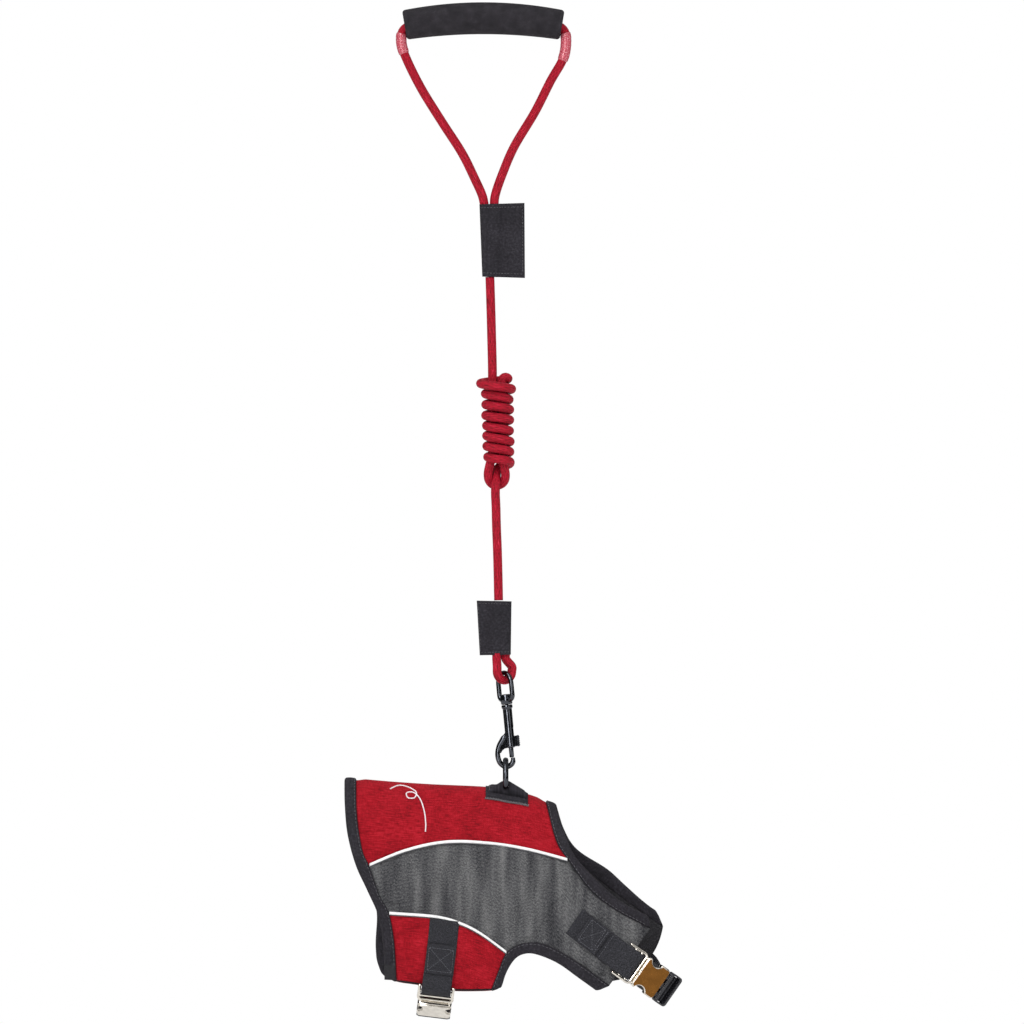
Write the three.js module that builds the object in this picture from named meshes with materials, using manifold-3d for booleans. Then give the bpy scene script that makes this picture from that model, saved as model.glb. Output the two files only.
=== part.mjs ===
// A small dog's padded harness vest hanging from a rope leash with a foam hand grip.
//
// Units are millimetres. +Z is up, +X points to the dog's head, and +Y to its far (left) side.
// The origin is the middle of the hand grip, which holds the whole part up.
// The leash hangs down to a swivel bolt snap, whose hook carries the D-ring on the vest's back.

import * as THREE from "three";
import Module from "manifold-3d";
import { mergeVertices } from "three/addons/utils/BufferGeometryUtils.js";

const wasm = await Module();
wasm.setup();

// ---------------------------------------------------------------- driving dimensions

const GAP = 0.3;                                  // clearance between touching pieces
const NEAR = -1;                                  // the dog's right side, towards -Y
const FAR = 1;                                    // the dog's left side, towards +Y

const grip = { length: 135, radius: 14, rise: 5.8, boreGap: 0.4 };
const rope = { radius: 3.8, sides: 8 };
const whipping = { inner: 4.4, outer: 4.9 };
const upperSleeve = { left: -3.3, right: 35, top: -158.2, bottom: -219.6, thick: 11, flap: 3, lobe: 17 };
const lowerSleeve = { left: -5.6, right: 24, top: -495, bottom: -541.5, thick: 14, flap: 3, lobe: 18 };
const knot = { x: 12, top: -303.6, bottom: -402 };

const eyeLoop = { x: 18, bendZ: -555, spread: 7.6, turn: 35, mouthX: 15.3, mouth: 3.9, mouthSkew: 1.6 };
const snapTilt = 5.5;                             // lean of the snap from the vertical, degrees
const snapEye = {
  radius: 9.5, wire: 2.1, legs: 13.5, corner: 4, hubRadius: 4.9, hubTop: 12, hubBottom: 20.8,
};
const barrel = { top: 21.1, collar: 24.2, bottom: 57.7, collarRadius: 4.7, radius: 3.9, bore: 2.5 };
const pin = { stem: 1.4, head: 2.1, headTop: 26.2, end: 27.6, hole: 1.8 };
const spring = { outer: 2.1, inner: 1.2, top: 27.9, bottom: 40 };
const bolt = {
  radius: 2.1, top: 40.3, bottom: 65.4, tabTop: 47.6, tabBottom: 57, tabReach: 7.4, tabThick: 2.2,
};
const hook = { wire: 2.3, slotWidth: 3, webThick: 3.2 };

const dRing = { x: 19, wire: 2.5, halfWidth: 16, barZ: -652.7, bowZ: -630.7 };

// Shape of the body that the vest wraps: the crown is half an ellipse, and below it the walls tuck in.
const body = { halfWidth: 38, crown: 100, tuck: 0.00125, chestFrom: 80, chestReach: 80, chestPull: 0.5 };

// Layers, as lift from the outer face of the panels.
const layer = {
  panel: [-2.2, 0],
  lining: [-4.4, -2.8],
  binding: [-4.2, 0.4],
  piping: [-2.2, 0.8],
  strap: [0.3, 1.9],
  patch: [0.3, 1.5],
};

const patchBox = { rear: 2, front: 38, drop: 10 };
const tunnelSlope = 0.6;                          // fall of the webbing away from the ring's bar

const web = { width: 25, thick: 1.6, tuck: 2.6 };
const piping = { halfWidth: 0.9, endShare: 0.008 };
const buckle = {
  frame: 19, frameWidth: 31, rail: 2.4, bar: 1.5, barAt: [7, 13, 17.6],
  shell: 23, width: 29, height: 7, wall: 1.4, floor: 1.3, shoulder: 3,
  scallopAt: 9, scallopReach: 4.5, plate: 0.8,
  male: 14, mouth: 1.4, maleHalf: 3, slotFrom: 3.2, slotTo: 11.2, slotRim: 1.5, contour: 20,
  tongue: 3, tongueHalf: 1.6, rootInner: 6.5, rootOuter: 10.8,
  armRoot: 22.3, armTip: 3.6, armAt: 8.4, armThick: 2.4, armHalf: 1.7,
  tabFrom: 5, tabTo: 13, tabReach: 12.6,
};

// ---------------------------------------------------------------- side view of the vest (x, z)

const spline = (...pairs) => new THREE.SplineCurve(pairs.map(([x, z]) => new THREE.Vector2(x, z)));

const corner = {
  rearTop: [-108, -647],
  rearUpper: [-97, -719],
  rearLower: [-80, -759.5],
  rearBottom: [-73.5, -816.5],
  neckTop: [53.3, -665.6],
  neckUpper: [72, -714.5],
  chestTop: [141.7, -773],
  chestBottom: [107, -821],
  legUpper: [20, -793],
  legBottom: [7.2, -824],
};

const ridgeLine = spline(
  [-118, -646], [-94, -647], [-79, -649.5], [-44.5, -651.8], [1.7, -654], [20, -657], [37, -660],
  [53.3, -665.6], [60, -667], [100, -677], [150, -692],
);

const upperRun = [corner.rearUpper, [-66, -706.5], [-33, -699.5], [0, -700], [35, -705], corner.neckUpper];
const neckRun = [[90, -739.5], [110.5, -756], corner.chestTop];
const upperSeam = spline(...upperRun);
const sideTop = spline(...upperRun, ...neckRun);
const lowerSeam = spline(corner.rearLower, [-41, -762.5], [-20, -768], [-2, -777], corner.legUpper);
const bellyEdge = spline(corner.rearBottom, [-52, -819.5], [-26, -824], corner.legBottom);

const rearEdgeUpper = spline(corner.rearTop, [-107, -678], [-102.5, -706], corner.rearUpper);
const rearEdgeMiddle = spline(corner.rearUpper, [-88.5, -742], corner.rearLower);
const rearEdgeLower = spline(corner.rearLower, [-75.5, -784], corner.rearBottom);
const rearInner = spline(
  corner.rearTop, [-107, -678], [-102.5, -706], corner.rearUpper, [-88, -744],
  corner.rearLower, [-75.5, -784], corner.rearBottom,
);
const rearOuter = spline(
  [-118, -646], [-117.5, -668], [-115, -693], [-108, -719], [-98, -741], [-88.7, -763], [-84.5, -790],
  [-83.5, -816],
);

const neckEdgeUpper = spline(corner.neckTop, [62.5, -691], corner.neckUpper);
const neckInner = spline(corner.neckTop, [62.5, -691], corner.neckUpper, ...neckRun);
const neckOuter = spline([60, -667], [68, -689.5], [78, -711], [99, -734], [118, -750.5], [141.7, -763]);
const chestEnd = spline(corner.chestBottom, corner.chestTop);

const legInner = spline(
  corner.chestBottom, [81, -802], [62.5, -791], [47, -785], [33, -785.5], corner.legUpper,
  [13.5, -807.5], corner.legBottom,
);
const legOuter = spline(
  [97.5, -827], [81, -815], [62.5, -802], [44, -794.6], [33, -795], [25.5, -800.5],
  [19, -812], [15, -825],
);
const legEdgeLower = spline(corner.legUpper, [13.5, -807.5], corner.legBottom);

const sideBottom = spline(
  corner.rearLower, [-41, -762.5], [-2, -777], corner.legUpper, [30, -787], [47, -785], [62.5, -791],
  [81, -802], corner.chestBottom,
);

// ---------------------------------------------------------------- general helpers

const lerp = THREE.MathUtils.lerp;
const radians = THREE.MathUtils.degToRad;
const smooth = THREE.MathUtils.smoothstep;
const clamp = THREE.MathUtils.clamp;
const at = (x, y, z) => new THREE.Vector3(x, y, z);

const finishes = {
  foam: { color: 0x37343a, roughness: 0.95 },
  rope: { color: 0xb8213c, roughness: 0.8 },
  whipping: { color: 0xb43c4b, roughness: 0.5 },
  charcoal: { color: 0x3a383e, roughness: 0.9 },
  red: { color: 0xb2192d, roughness: 0.9 },
  grey: { color: 0x69696c, roughness: 0.9 },
  lining: { color: 0x232126, roughness: 0.95 },
  piping: { color: 0xf2f2f2, roughness: 0.6 },
  webbing: { color: 0x32323a, roughness: 0.85 },
  gunmetal: { color: 0x191c1e, roughness: 0.25, metalness: 0.9 },
  steel: { color: 0xb9b9b9, roughness: 0.35, metalness: 1 },
  chrome: { color: 0xdcd7cd, roughness: 0.12, metalness: 1 },
  plastic: { color: 0x1e1e23, roughness: 0.5 },
};

function makeMesh(name, geometry, finish) {
  const mesh = new THREE.Mesh(geometry, new THREE.MeshStandardMaterial(finishes[finish]));
  mesh.name = name;
  return mesh;
}

function toSolid(geometry) {
  const plain = geometry.clone();
  plain.deleteAttribute("normal");
  plain.deleteAttribute("uv");
  const merged = mergeVertices(plain, 1e-4);
  return new wasm.Manifold(new wasm.Mesh({
    numProp: 3,
    vertProperties: merged.attributes.position.array,
    triVerts: new Uint32Array(merged.index.array),
  }));
}

function toGeometry(solid) {
  const mesh = solid.getMesh();
  const geometry = new THREE.BufferGeometry();
  geometry.setAttribute("position", new THREE.BufferAttribute(mesh.vertProperties, 3));
  geometry.setIndex(new THREE.BufferAttribute(mesh.triVerts, 1));
  return geometry;
}

function join(first, ...others) {
  return toGeometry(others.reduce((sum, next) => sum.add(toSolid(next)), toSolid(first)));
}

function cut(first, ...others) {
  return toGeometry(others.reduce((left, next) => left.subtract(toSolid(next)), toSolid(first)));
}

function box(from, to) {
  const size = to.clone().sub(from);
  const middle = from.clone().add(to).multiplyScalar(0.5);
  return new THREE.BoxGeometry(size.x, size.y, size.z).translate(middle.x, middle.y, middle.z);
}

// An upright cylinder about the Z axis through (x, y).
function post(x, y, from, to, radius, sides) {
  const cylinder = new THREE.CylinderGeometry(radius, radius, Math.abs(to - from), sides);
  return cylinder.rotateX(Math.PI / 2).translate(x, y, (from + to) / 2);
}

function disc(radius, sides) {
  const points = [];
  for (let i = 0; i < sides; i += 1) {
    const angle = (2 * Math.PI * i) / sides;
    points.push(new THREE.Vector2(radius * Math.cos(angle), radius * Math.sin(angle)));
  }
  return new THREE.Shape(points);
}

function tube(curve, radius, sides, steps) {
  return new THREE.ExtrudeGeometry(disc(radius, sides), { extrudePath: curve, steps });
}

function curveThrough(points) {
  return new THREE.CatmullRomCurve3(points, false, "centripetal");
}

// The stretch of a curve between two distances from its start.
function stretch(curve, from, to, count) {
  const whole = curve.getLength();
  const points = [];
  for (let i = 0; i <= count; i += 1) {
    points.push(curve.getPointAt(lerp(from, to, i / count) / whole));
  }
  return curveThrough(points);
}

// A closed slab: a box grid whose points (u, v, w), each from 0 to 1, are moved by a map.
function slab(map, cellsU, cellsV) {
  const geometry = new THREE.BoxGeometry(1, 1, 1, cellsU, cellsV, 1);
  const position = geometry.attributes.position;
  for (let i = 0; i < position.count; i += 1) {
    const point = map(position.getX(i) + 0.5, position.getY(i) + 0.5, position.getZ(i) + 0.5);
    position.setXYZ(i, point.x, point.y, point.z);
  }
  return geometry;
}

// A webbing band, centred on a path that it follows from point to point, with its width along "across".
function ribbon(path, across) {
  const curve = curveThrough(path);
  return slab((u, v, w) => {
    const point = curve.getPoint(u);
    const normal = curve.getTangent(u).cross(across).normalize();
    point.addScaledVector(across, (v - 0.5) * web.width);
    return point.addScaledVector(normal, (w - 0.5) * web.thick);
  }, path.length - 1, 1);
}

// ---------------------------------------------------------------- the vest's surface

const ridgeSamples = ridgeLine.getPoints(80);

function ridgeHeight(x) {
  const next = ridgeSamples.findIndex((sample) => sample.x >= x);
  if (next === 0) return ridgeSamples[0].y;
  if (next < 0) return ridgeSamples[ridgeSamples.length - 1].y;
  const [a, b] = [ridgeSamples[next - 1], ridgeSamples[next]];
  return lerp(a.y, b.y, (x - a.x) / (b.x - a.x));
}

// The far side flares forward and up at the neck, bulges at the chest end, and flares back at the belly.
function flare(x, z, drop) {
  const chest = smooth(x, 55, 100) * smooth(drop, 15, 55);
  const neck = smooth(x, 60, 100) * (1 - smooth(x, 110, 142)) * (1 - smooth(drop, 60, 110));
  const belly = smooth(-x, 55, 90) * smooth(drop, 100, 145) * (1 - 0.8 * smooth(drop, 148, 172));
  const hem = smooth(drop, 120, 160) * (1 - smooth(x, 0, 40)) * smooth(x, -96, -66);
  const [top, bottom] = [corner.chestTop, corner.chestBottom];
  const end = { x: bottom[0] - top[0], z: bottom[1] - top[1] };
  const length = Math.hypot(end.x, end.z);
  const share = clamp(((x - top[0]) * end.x + (z - top[1]) * end.z) / length ** 2, -0.15, 1.05);
  const short = ((x - top[0]) * end.z - (z - top[1]) * end.x) / length;
  const bulge = (6 - 34 * (share - 0.45) ** 2) * (1 - smooth(short, 0, 30));
  return {
    x: 12 * chest - 8 * belly - bulge * end.z / length,
    z: 6 * neck - 4 * hem + bulge * end.x / length,
  };
}

// The point of the vest at (x, z) of the side view, lifted off the panels' outer face.
function skin(x, z, side, lift) {
  const drop = Math.max(0, ridgeHeight(x) - z);
  const taper = 1 - body.chestPull * Math.max(0, (x - body.chestFrom) / body.chestReach) ** 2;
  const wide = body.halfWidth * taper;
  let half = 0;
  let out = 1;
  let up = 0;
  if (drop < body.crown) {
    const rise = 1 - drop / body.crown;
    half = Math.sqrt(1 - rise * rise);
    const length = Math.hypot(half / wide, rise / body.crown);
    out = half / wide / length;
    up = rise / body.crown / length;
    half *= wide;
  } else {
    const below = drop - body.crown;
    half = wide - body.tuck * below * below;
    const length = Math.hypot(1, 2 * body.tuck * below);
    out = 1 / length;
    up = (-2 * body.tuck * below) / length;
  }
  const shift = side === FAR ? flare(x, z, drop) : { x: 0, z: 0 };
  return at(x + shift.x, side * (half + out * lift), z + up * lift + shift.z);
}

// A four-sided patch of the side view; "rear" and "front" run from the lower to the upper edge.
function patch(lower, upper, rear, front) {
  const corners = [lower.getPointAt(0), lower.getPointAt(1), upper.getPointAt(0), upper.getPointAt(1)];
  return (u, v) => {
    const low = corners[0].clone().lerp(corners[1], u);
    const high = corners[2].clone().lerp(corners[3], u);
    const along = lower.getPointAt(u).lerp(upper.getPointAt(u), v);
    const across = rear(v).lerp(front(v), u);
    return along.add(across).sub(low.lerp(high, v));
  };
}

const rising = (curve) => (v) => curve.getPointAt(1 - v);      // for edges listed from the top down
const climbing = (curve) => (v) => curve.getPointAt(v);

// A panel on one side; margins keep it clear of its neighbours, as a share of its size.
function sidePanel(shape, side, lifts, cells, margin) {
  return slab((u, v, w) => {
    const height = side === NEAR ? v : 1 - v;
    const inner = lerp(margin.end, 1 - margin.end, u);
    const point = shape(inner, lerp(margin.low, 1 - margin.high, height));
    return skin(point.x, point.y, side, lerp(lifts[0], lifts[1], w));
  }, cells[0], cells[1]);
}

// A panel or band over the ridge: v runs from the near lower edge over the ridge to the far one.
// The shape gives (x, z) for u from rear to front and a share s of the way down from the ridge.
function saddle(shape, lifts, cells, power) {
  return slab((u, v, w) => {
    const share = Math.abs(2 * v - 1);
    const point = shape(u, share ** power);
    return skin(point.x, point.y, v < 0.5 ? NEAR : FAR, lerp(lifts[0], lifts[1], w));
  }, cells[0], cells[1]);
}

// A band between two edges of the side view, both listed in the same direction.
const between = (first, second, margin) => (u, s) => (
  first.getPointAt(s).lerp(second.getPointAt(s), lerp(margin, 1 - margin, u))
);

// ---------------------------------------------------------------- vest panels

const backEdge = spline(corner.rearTop, [-79, -649.5], [-44.5, -651.8], [1.7, -654], [20, -657],
  [37, -660], corner.neckTop);
const backShape = patch(upperSeam, backEdge, rising(rearEdgeUpper), rising(neckEdgeUpper));
const sideShape = patch(sideBottom, sideTop, rising(rearEdgeMiddle), climbing(chestEnd));
const bellyShape = patch(bellyEdge, lowerSeam, rising(rearEdgeLower), rising(legEdgeLower));

const backMargin = { end: 0.005, low: 0.03 };
const sideMargin = { end: 0.006, low: 0.045, high: 0.035 };
const bellyMargin = { end: 0.012, low: 0.01, high: 0.045 };

function backPiece(lifts) {
  const { end, low } = backMargin;
  const shape = (u, s) => backShape(lerp(end, 1 - end, u), 1 - s * (1 - low));
  return saddle(shape, lifts, [12, 14], 2);
}

function sidePiece(side, lifts) {
  return sidePanel(sideShape, side, lifts, [14, 5], sideMargin);
}

function bellyPiece(side, lifts) {
  return sidePanel(bellyShape, side, lifts, [7, 4], bellyMargin);
}

// A narrow bead that covers a seam line.
function pipingPiece(seam, side, steps) {
  return slab((u, v, w) => {
    const along = side === NEAR ? u : 1 - u;
    const point = seam.getPointAt(lerp(piping.endShare, 1 - piping.endShare, along));
    const shift = (v - 0.5) * 2 * piping.halfWidth;
    return skin(point.x, point.y + shift, side, lerp(layer.piping[0], layer.piping[1], w));
  }, steps, 1);
}

function legBinding(side) {
  const shape = between(legOuter, legInner, 0.04);
  return slab((u, v, w) => {
    const point = shape(v, side === NEAR ? 1 - u : u);
    return skin(point.x, point.y, side, lerp(layer.binding[0], layer.binding[1], w));
  }, 14, 1);
}

function edgeBinding(first, second) {
  return saddle(between(first, second, 0.03), layer.binding, [1, 24], 1.6);
}

function vestPanels() {
  const parts = [
    makeMesh("back_panel", backPiece(layer.panel), "red"),
    makeMesh("back_lining", backPiece(layer.lining), "lining"),
    makeMesh("rear_binding", edgeBinding(rearOuter, rearInner), "charcoal"),
    makeMesh("neck_binding", edgeBinding(neckInner, neckOuter), "charcoal"),
  ];
  for (const [side, word] of [[NEAR, "near"], [FAR, "far"]]) {
    parts.push(
      makeMesh(`side_panel_${word}`, sidePiece(side, layer.panel), "grey"),
      makeMesh(`side_lining_${word}`, sidePiece(side, layer.lining), "lining"),
      makeMesh(`belly_panel_${word}`, bellyPiece(side, layer.panel), "red"),
      makeMesh(`belly_lining_${word}`, bellyPiece(side, layer.lining), "lining"),
      makeMesh(`upper_piping_${word}`, pipingPiece(upperSeam, side, 14), "piping"),
      makeMesh(`lower_piping_${word}`, pipingPiece(lowerSeam, side, 10), "piping"),
      makeMesh(`leg_binding_${word}`, legBinding(side), "charcoal"),
    );
  }
  return parts;
}

// ---------------------------------------------------------------- back fitting

// How far the crown falls below the ridge at a distance y from the middle.
const crownDrop = (y) => body.crown * (1 - Math.sqrt(1 - (y / body.halfWidth) ** 2));

function basePatch() {
  const shape = (u, s) => {
    const x = lerp(patchBox.rear, patchBox.front, u);
    return new THREE.Vector2(x, ridgeHeight(x) - patchBox.drop * s);
  };
  return saddle(shape, layer.patch, [4, 10], 2);
}

// The cover rises like a tent over the ring's bar, which turns in a bore through it.
function ringWebbing() {
  const tent = slab((u, v, w) => {
    const x = lerp(patchBox.rear + 1, patchBox.front - 1, u);
    const y = (v - 0.5) * web.width;
    const resting = ridgeHeight(x) - crownDrop(y) + layer.patch[1] + GAP + 0.5;
    const away = Math.max(0, Math.abs(x - dRing.x) - 3);
    const lifted = dRing.barZ + dRing.wire + GAP - away * tunnelSlope;
    return at(x, y, w === 0 ? resting : Math.max(resting, lifted) + web.thick);
  }, 12, 8);
  const bore = new THREE.CylinderGeometry(dRing.wire + GAP, dRing.wire + GAP, 2 * web.width, 12);
  return cut(tent, bore.translate(dRing.x, 0, dRing.barZ));
}

function ringPiece() {
  const { x, wire, halfWidth, barZ, bowZ } = dRing;
  const middle = bowZ - 0.87 * halfWidth;
  const path = [at(x, -halfWidth, barZ), at(x, -halfWidth, (barZ + middle) / 2)];
  for (let turn = 180; turn >= 0; turn -= 22.5) {
    const angle = radians(turn);
    path.push(at(x, halfWidth * Math.cos(angle), middle + (bowZ - middle) * Math.sin(angle)));
  }
  path.push(at(x, halfWidth, (barZ + middle) / 2), at(x, halfWidth, barZ));
  const bow = tube(curveThrough(path), wire, 8, 20);
  const bar = new THREE.CylinderGeometry(wire, wire, 2 * (halfWidth + wire), 8).translate(x, 0, barZ);
  return join(bow, bar);
}

function backFitting() {
  return [
    makeMesh("ring_base_patch", basePatch(), "charcoal"),
    makeMesh("ring_webbing", ringWebbing(), "webbing"),
    makeMesh("d_ring", ringPiece(), "gunmetal"),
  ];
}

// ---------------------------------------------------------------- swivel bolt snap, about its own axis

// A bow over the rope, with straight legs down to a squared foot.
function stirrupCurve() {
  const { radius, wire, legs, corner: round } = snapEye;
  const top = rope.radius + GAP + wire;
  const shoulder = top - radius;
  const foot = shoulder - legs;
  const inset = radius - round * 0.3;
  const points = [
    at(radius, 0, shoulder), at(radius, 0, foot + round), at(inset, 0, foot + round * 0.3),
    at(radius - round, 0, foot), at(0, 0, foot), at(round - radius, 0, foot),
    at(-inset, 0, foot + round * 0.3), at(-radius, 0, foot + round), at(-radius, 0, shoulder),
  ];
  for (const turn of [150, 120, 90, 60, 30]) {
    const angle = radians(turn);
    points.push(at(radius * Math.cos(angle), 0, shoulder + radius * Math.sin(angle)));
  }
  return new THREE.CatmullRomCurve3(points, true, "centripetal");
}

function snapEyePiece() {
  const { wire, hubRadius, hubTop, hubBottom } = snapEye;
  const stirrup = new THREE.TubeGeometry(stirrupCurve(), 32, wire, 8, true);
  return join(
    stirrup.rotateZ(radians(eyeLoop.turn - 90)),
    post(0, 0, -hubTop, -hubBottom, hubRadius, 12),
    post(0, 0, -hubBottom + 0.5, -pin.end, pin.stem, 8),
    post(0, 0, -pin.headTop, -pin.end, pin.head, 8),
  );
}

function hookCurve() {
  const route = [
    [-3.2, 46], [-6.2, 50.3], [-10.2, 56], [-11.8, 62.5],
    [-10.6, 69.3], [-6.2, 73.4], [-1.8, 72.4], [0.4, 70], [0.9, 66.3],
  ];
  return curveThrough(route.map(([across, down]) => at(across, 0, -down)));
}

// The flat web that fills the corner between the barrel and the hook's wire.
function hookWeb() {
  const outline = [
    [-1, 43], [-3.6, 43.5], [-6.2, 50.3], [-10.2, 56], [-11, 60], [-8.4, 60.2], [-6, 58.2], [-1, 57.5],
  ];
  const shape = new THREE.Shape(outline.map(([across, down]) => new THREE.Vector2(across, -down)));
  const plate = new THREE.ExtrudeGeometry(shape, { depth: hook.webThick, bevelEnabled: false });
  return plate.translate(0, 0, -hook.webThick / 2).rotateX(Math.PI / 2);
}

function snapBodyPiece() {
  const solid = join(
    post(0, 0, -barrel.top, -barrel.collar, barrel.collarRadius, 12),
    post(0, 0, -barrel.collar + 0.2, -barrel.bottom, barrel.radius, 12),
    tube(hookCurve(), hook.wire, 8, 14),
    hookWeb(),
  );
  return cut(
    solid,
    post(0, 0, -pin.headTop + 0.6, -barrel.bottom - 4, barrel.bore, 12),
    post(0, 0, -barrel.top + 1, -pin.headTop, pin.hole, 12),
    box(
      at(0, -hook.slotWidth / 2, -barrel.bottom - 1),
      at(barrel.radius + 1, hook.slotWidth / 2, -spring.bottom),
    ),
  );
}

function boltPiece() {
  const half = bolt.tabThick / 2;
  const tab = box(at(1, -half, -bolt.tabBottom), at(bolt.tabReach, half, -bolt.tabTop));
  return join(post(0, 0, -bolt.top, -bolt.bottom, bolt.radius, 12), tab);
}

function springPiece() {
  const outer = post(0, 0, -spring.top, -spring.bottom, spring.outer, 10);
  return cut(outer, post(0, 0, -spring.top + 1, -spring.bottom - 1, spring.inner, 10));
}

function snap() {
  const group = new THREE.Group();
  group.position.set(eyeLoop.x, 0, eyeLoop.bendZ - eyeLoop.spread);
  group.rotation.y = -radians(snapTilt);
  group.add(
    makeMesh("snap_eye", snapEyePiece(), "gunmetal"),
    makeMesh("snap_body", snapBodyPiece(), "gunmetal"),
    makeMesh("snap_bolt", boltPiece(), "gunmetal"),
    makeMesh("snap_spring", springPiece(), "steel"),
  );
  return group;
}

// ---------------------------------------------------------------- buckles and straps

// Directions of a buckle whose shell is turned from hanging flat against the side towards the middle.
function buckleAxes(down, turn) {
  const outward = at(0, -1, 0);
  const turned = (angle) => ({
    along: down.clone().multiplyScalar(Math.cos(angle)).addScaledVector(outward, -Math.sin(angle)),
    normal: outward.clone().multiplyScalar(Math.cos(angle)).addScaledVector(down, Math.sin(angle)),
  });
  return {
    across: outward.clone().cross(down).normalize(),
    frame: turned(radians(turn - buckle.contour)),
    shell: turned(radians(turn)),
    male: turned(radians(turn + buckle.contour)),
  };
}

const scallop = (extra) => [NEAR, FAR].map((side) => (
  post(buckle.scallopAt, side * (buckle.width / 2 + 1), -10, 10, buckle.scallopReach + 1 + extra, 14)
));

function femalePiece() {
  const half = buckle.width / 2;
  const thick = buckle.height / 2;
  const shell = cut(
    box(at(0, -half, -thick), at(buckle.shell, half, thick)),
    box(
      at(buckle.shoulder, -half + buckle.wall, -thick + buckle.floor),
      at(buckle.shell + 1, half - buckle.wall, thick - buckle.floor),
    ),
    ...scallop(0),
  );
  const outer = buckle.frameWidth / 2;
  const frame = [NEAR, FAR].map((side) => {
    const edges = [side * outer, side * (outer - buckle.rail)].sort((a, b) => a - b);
    return box(at(-buckle.frame, edges[0], -buckle.bar), at(1, edges[1], buckle.bar));
  });
  for (const place of buckle.barAt) {
    const bar = new THREE.CylinderGeometry(buckle.bar, buckle.bar, 2 * outer - 1, 8);
    frame.push(bar.translate(place - buckle.frame, 0, 0));
  }
  return join(shell, ...frame.map((piece) => piece.rotateY(-radians(buckle.contour))));
}

function platePiece() {
  const half = buckle.width / 2 - 1;
  const from = buckle.height / 2 + GAP;
  return cut(box(at(1, -half, from), at(buckle.shell - 0.6, half, from + buckle.plate)), ...scallop(0.7));
}

function malePiece() {
  const half = buckle.width / 2;
  const slot = cut(
    box(at(0, -half, -buckle.maleHalf), at(buckle.male, half, buckle.maleHalf)),
    box(
      at(buckle.slotFrom, -half + buckle.slotRim, -buckle.maleHalf - 1),
      at(buckle.slotTo, half - buckle.slotRim, buckle.maleHalf + 1),
    ),
  );
  slot.rotateY(radians(buckle.contour)).translate(buckle.shell + buckle.mouth, 0, 0);
  const neck = buckle.shell + 3;
  const tongue = box(
    at(buckle.shoulder + 2 * GAP, -buckle.tongue, -buckle.tongueHalf),
    at(neck, buckle.tongue, buckle.tongueHalf),
  );
  const roots = [NEAR, FAR].map((side) => {
    const edges = [side * buckle.rootInner, side * buckle.rootOuter].sort((a, b) => a - b);
    return box(
      at(buckle.armRoot + GAP, edges[0], -buckle.armHalf),
      at(neck, edges[1], buckle.armHalf),
    );
  });
  return join(slot, tongue, ...roots);
}

function prongPiece(side) {
  const { armTip, armRoot, armAt, armThick, armHalf, tabFrom, tabTo, tabReach } = buckle;
  const band = (from, to, inner, outer) => {
    const edges = [side * inner, side * outer].sort((a, b) => a - b);
    return box(at(from, edges[0], -armHalf), at(to, edges[1], armHalf));
  };
  return join(
    band(armTip, armRoot, armAt - armThick / 2, armAt + armThick / 2),
    band(tabFrom, tabTo, armAt, tabReach),
  );
}

// One buckle with both its straps. "sewn" lists the near strap's points on the vest, "start" is where
// the strap frame begins, and "home" lists the far strap's points from the male half to the far side.
function fastening(word, { down, turn, start, sewn, home }) {
  const axes = buckleAxes(down, turn);
  const group = new THREE.Group();
  const origin = start.clone().addScaledVector(axes.frame.along, buckle.frame);
  group.position.copy(origin);
  group.quaternion.setFromRotationMatrix(
    new THREE.Matrix4().makeBasis(axes.shell.along, axes.across, axes.shell.normal),
  );
  group.add(
    makeMesh(`${word}_buckle_female`, femalePiece(), "chrome"),
    makeMesh(`${word}_buckle_plate`, platePiece(), "chrome"),
    makeMesh(`${word}_buckle_male`, malePiece(), "plastic"),
    makeMesh(`${word}_buckle_prong_left`, prongPiece(NEAR), "plastic"),
    makeMesh(`${word}_buckle_prong_right`, prongPiece(FAR), "plastic"),
  );

  const wrap = buckle.bar + GAP + web.thick / 2;
  const framePoint = (along, height) => (
    start.clone().addScaledVector(axes.frame.along, along).addScaledVector(axes.frame.normal, height)
  );
  const nearPath = [...sewn, framePoint(2, wrap)];
  for (let angle = 0; angle <= 180; angle += 45) {
    const reach = wrap * Math.sin(radians(angle));
    nearPath.push(framePoint(buckle.barAt[0] + reach, wrap * Math.cos(radians(angle))));
  }
  nearPath.push(framePoint(buckle.barAt[0] - web.tuck, -wrap));

  const slot = origin.clone().addScaledVector(axes.shell.along, buckle.shell + buckle.mouth);
  slot.addScaledVector(axes.male.along, (buckle.slotFrom + buckle.slotTo) / 2);
  const slotPoint = (height) => slot.clone().addScaledVector(axes.male.normal, height);
  const farPath = [slotPoint(1.5), slotPoint(-4), ...home];
  return [
    group,
    makeMesh(`${word}_strap_near`, ribbon(nearPath, axes.across), "webbing"),
    makeMesh(`${word}_strap_far`, ribbon(farPath, axes.across), "webbing"),
  ];
}

function bellyFastening() {
  const lift = layer.strap[0] + web.thick / 2;
  return fastening("belly", {
    down: at(-0.12, 0, -0.993).normalize(),
    turn: 64,
    start: skin(-39.4, -820.5, NEAR, 4.4),
    sewn: [[-33, -768, 0], [-34.2, -781, 0], [-35.7, -794, 0], [-37.4, -807, 0.6], [-38.6, -815, 2.3]].map(
      ([x, z, extra]) => skin(x, z, NEAR, lift + extra),
    ),
    home: [
      at(-42, 15, -840.5), at(-41, 28, -833),
      skin(-39.5, -817, FAR, lift + 1.8), skin(-38, -806, FAR, lift + 0.4),
      skin(-36, -790, FAR, lift + 0.4), skin(-33.5, -772, FAR, lift + 0.4),
    ],
  });
}

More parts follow.
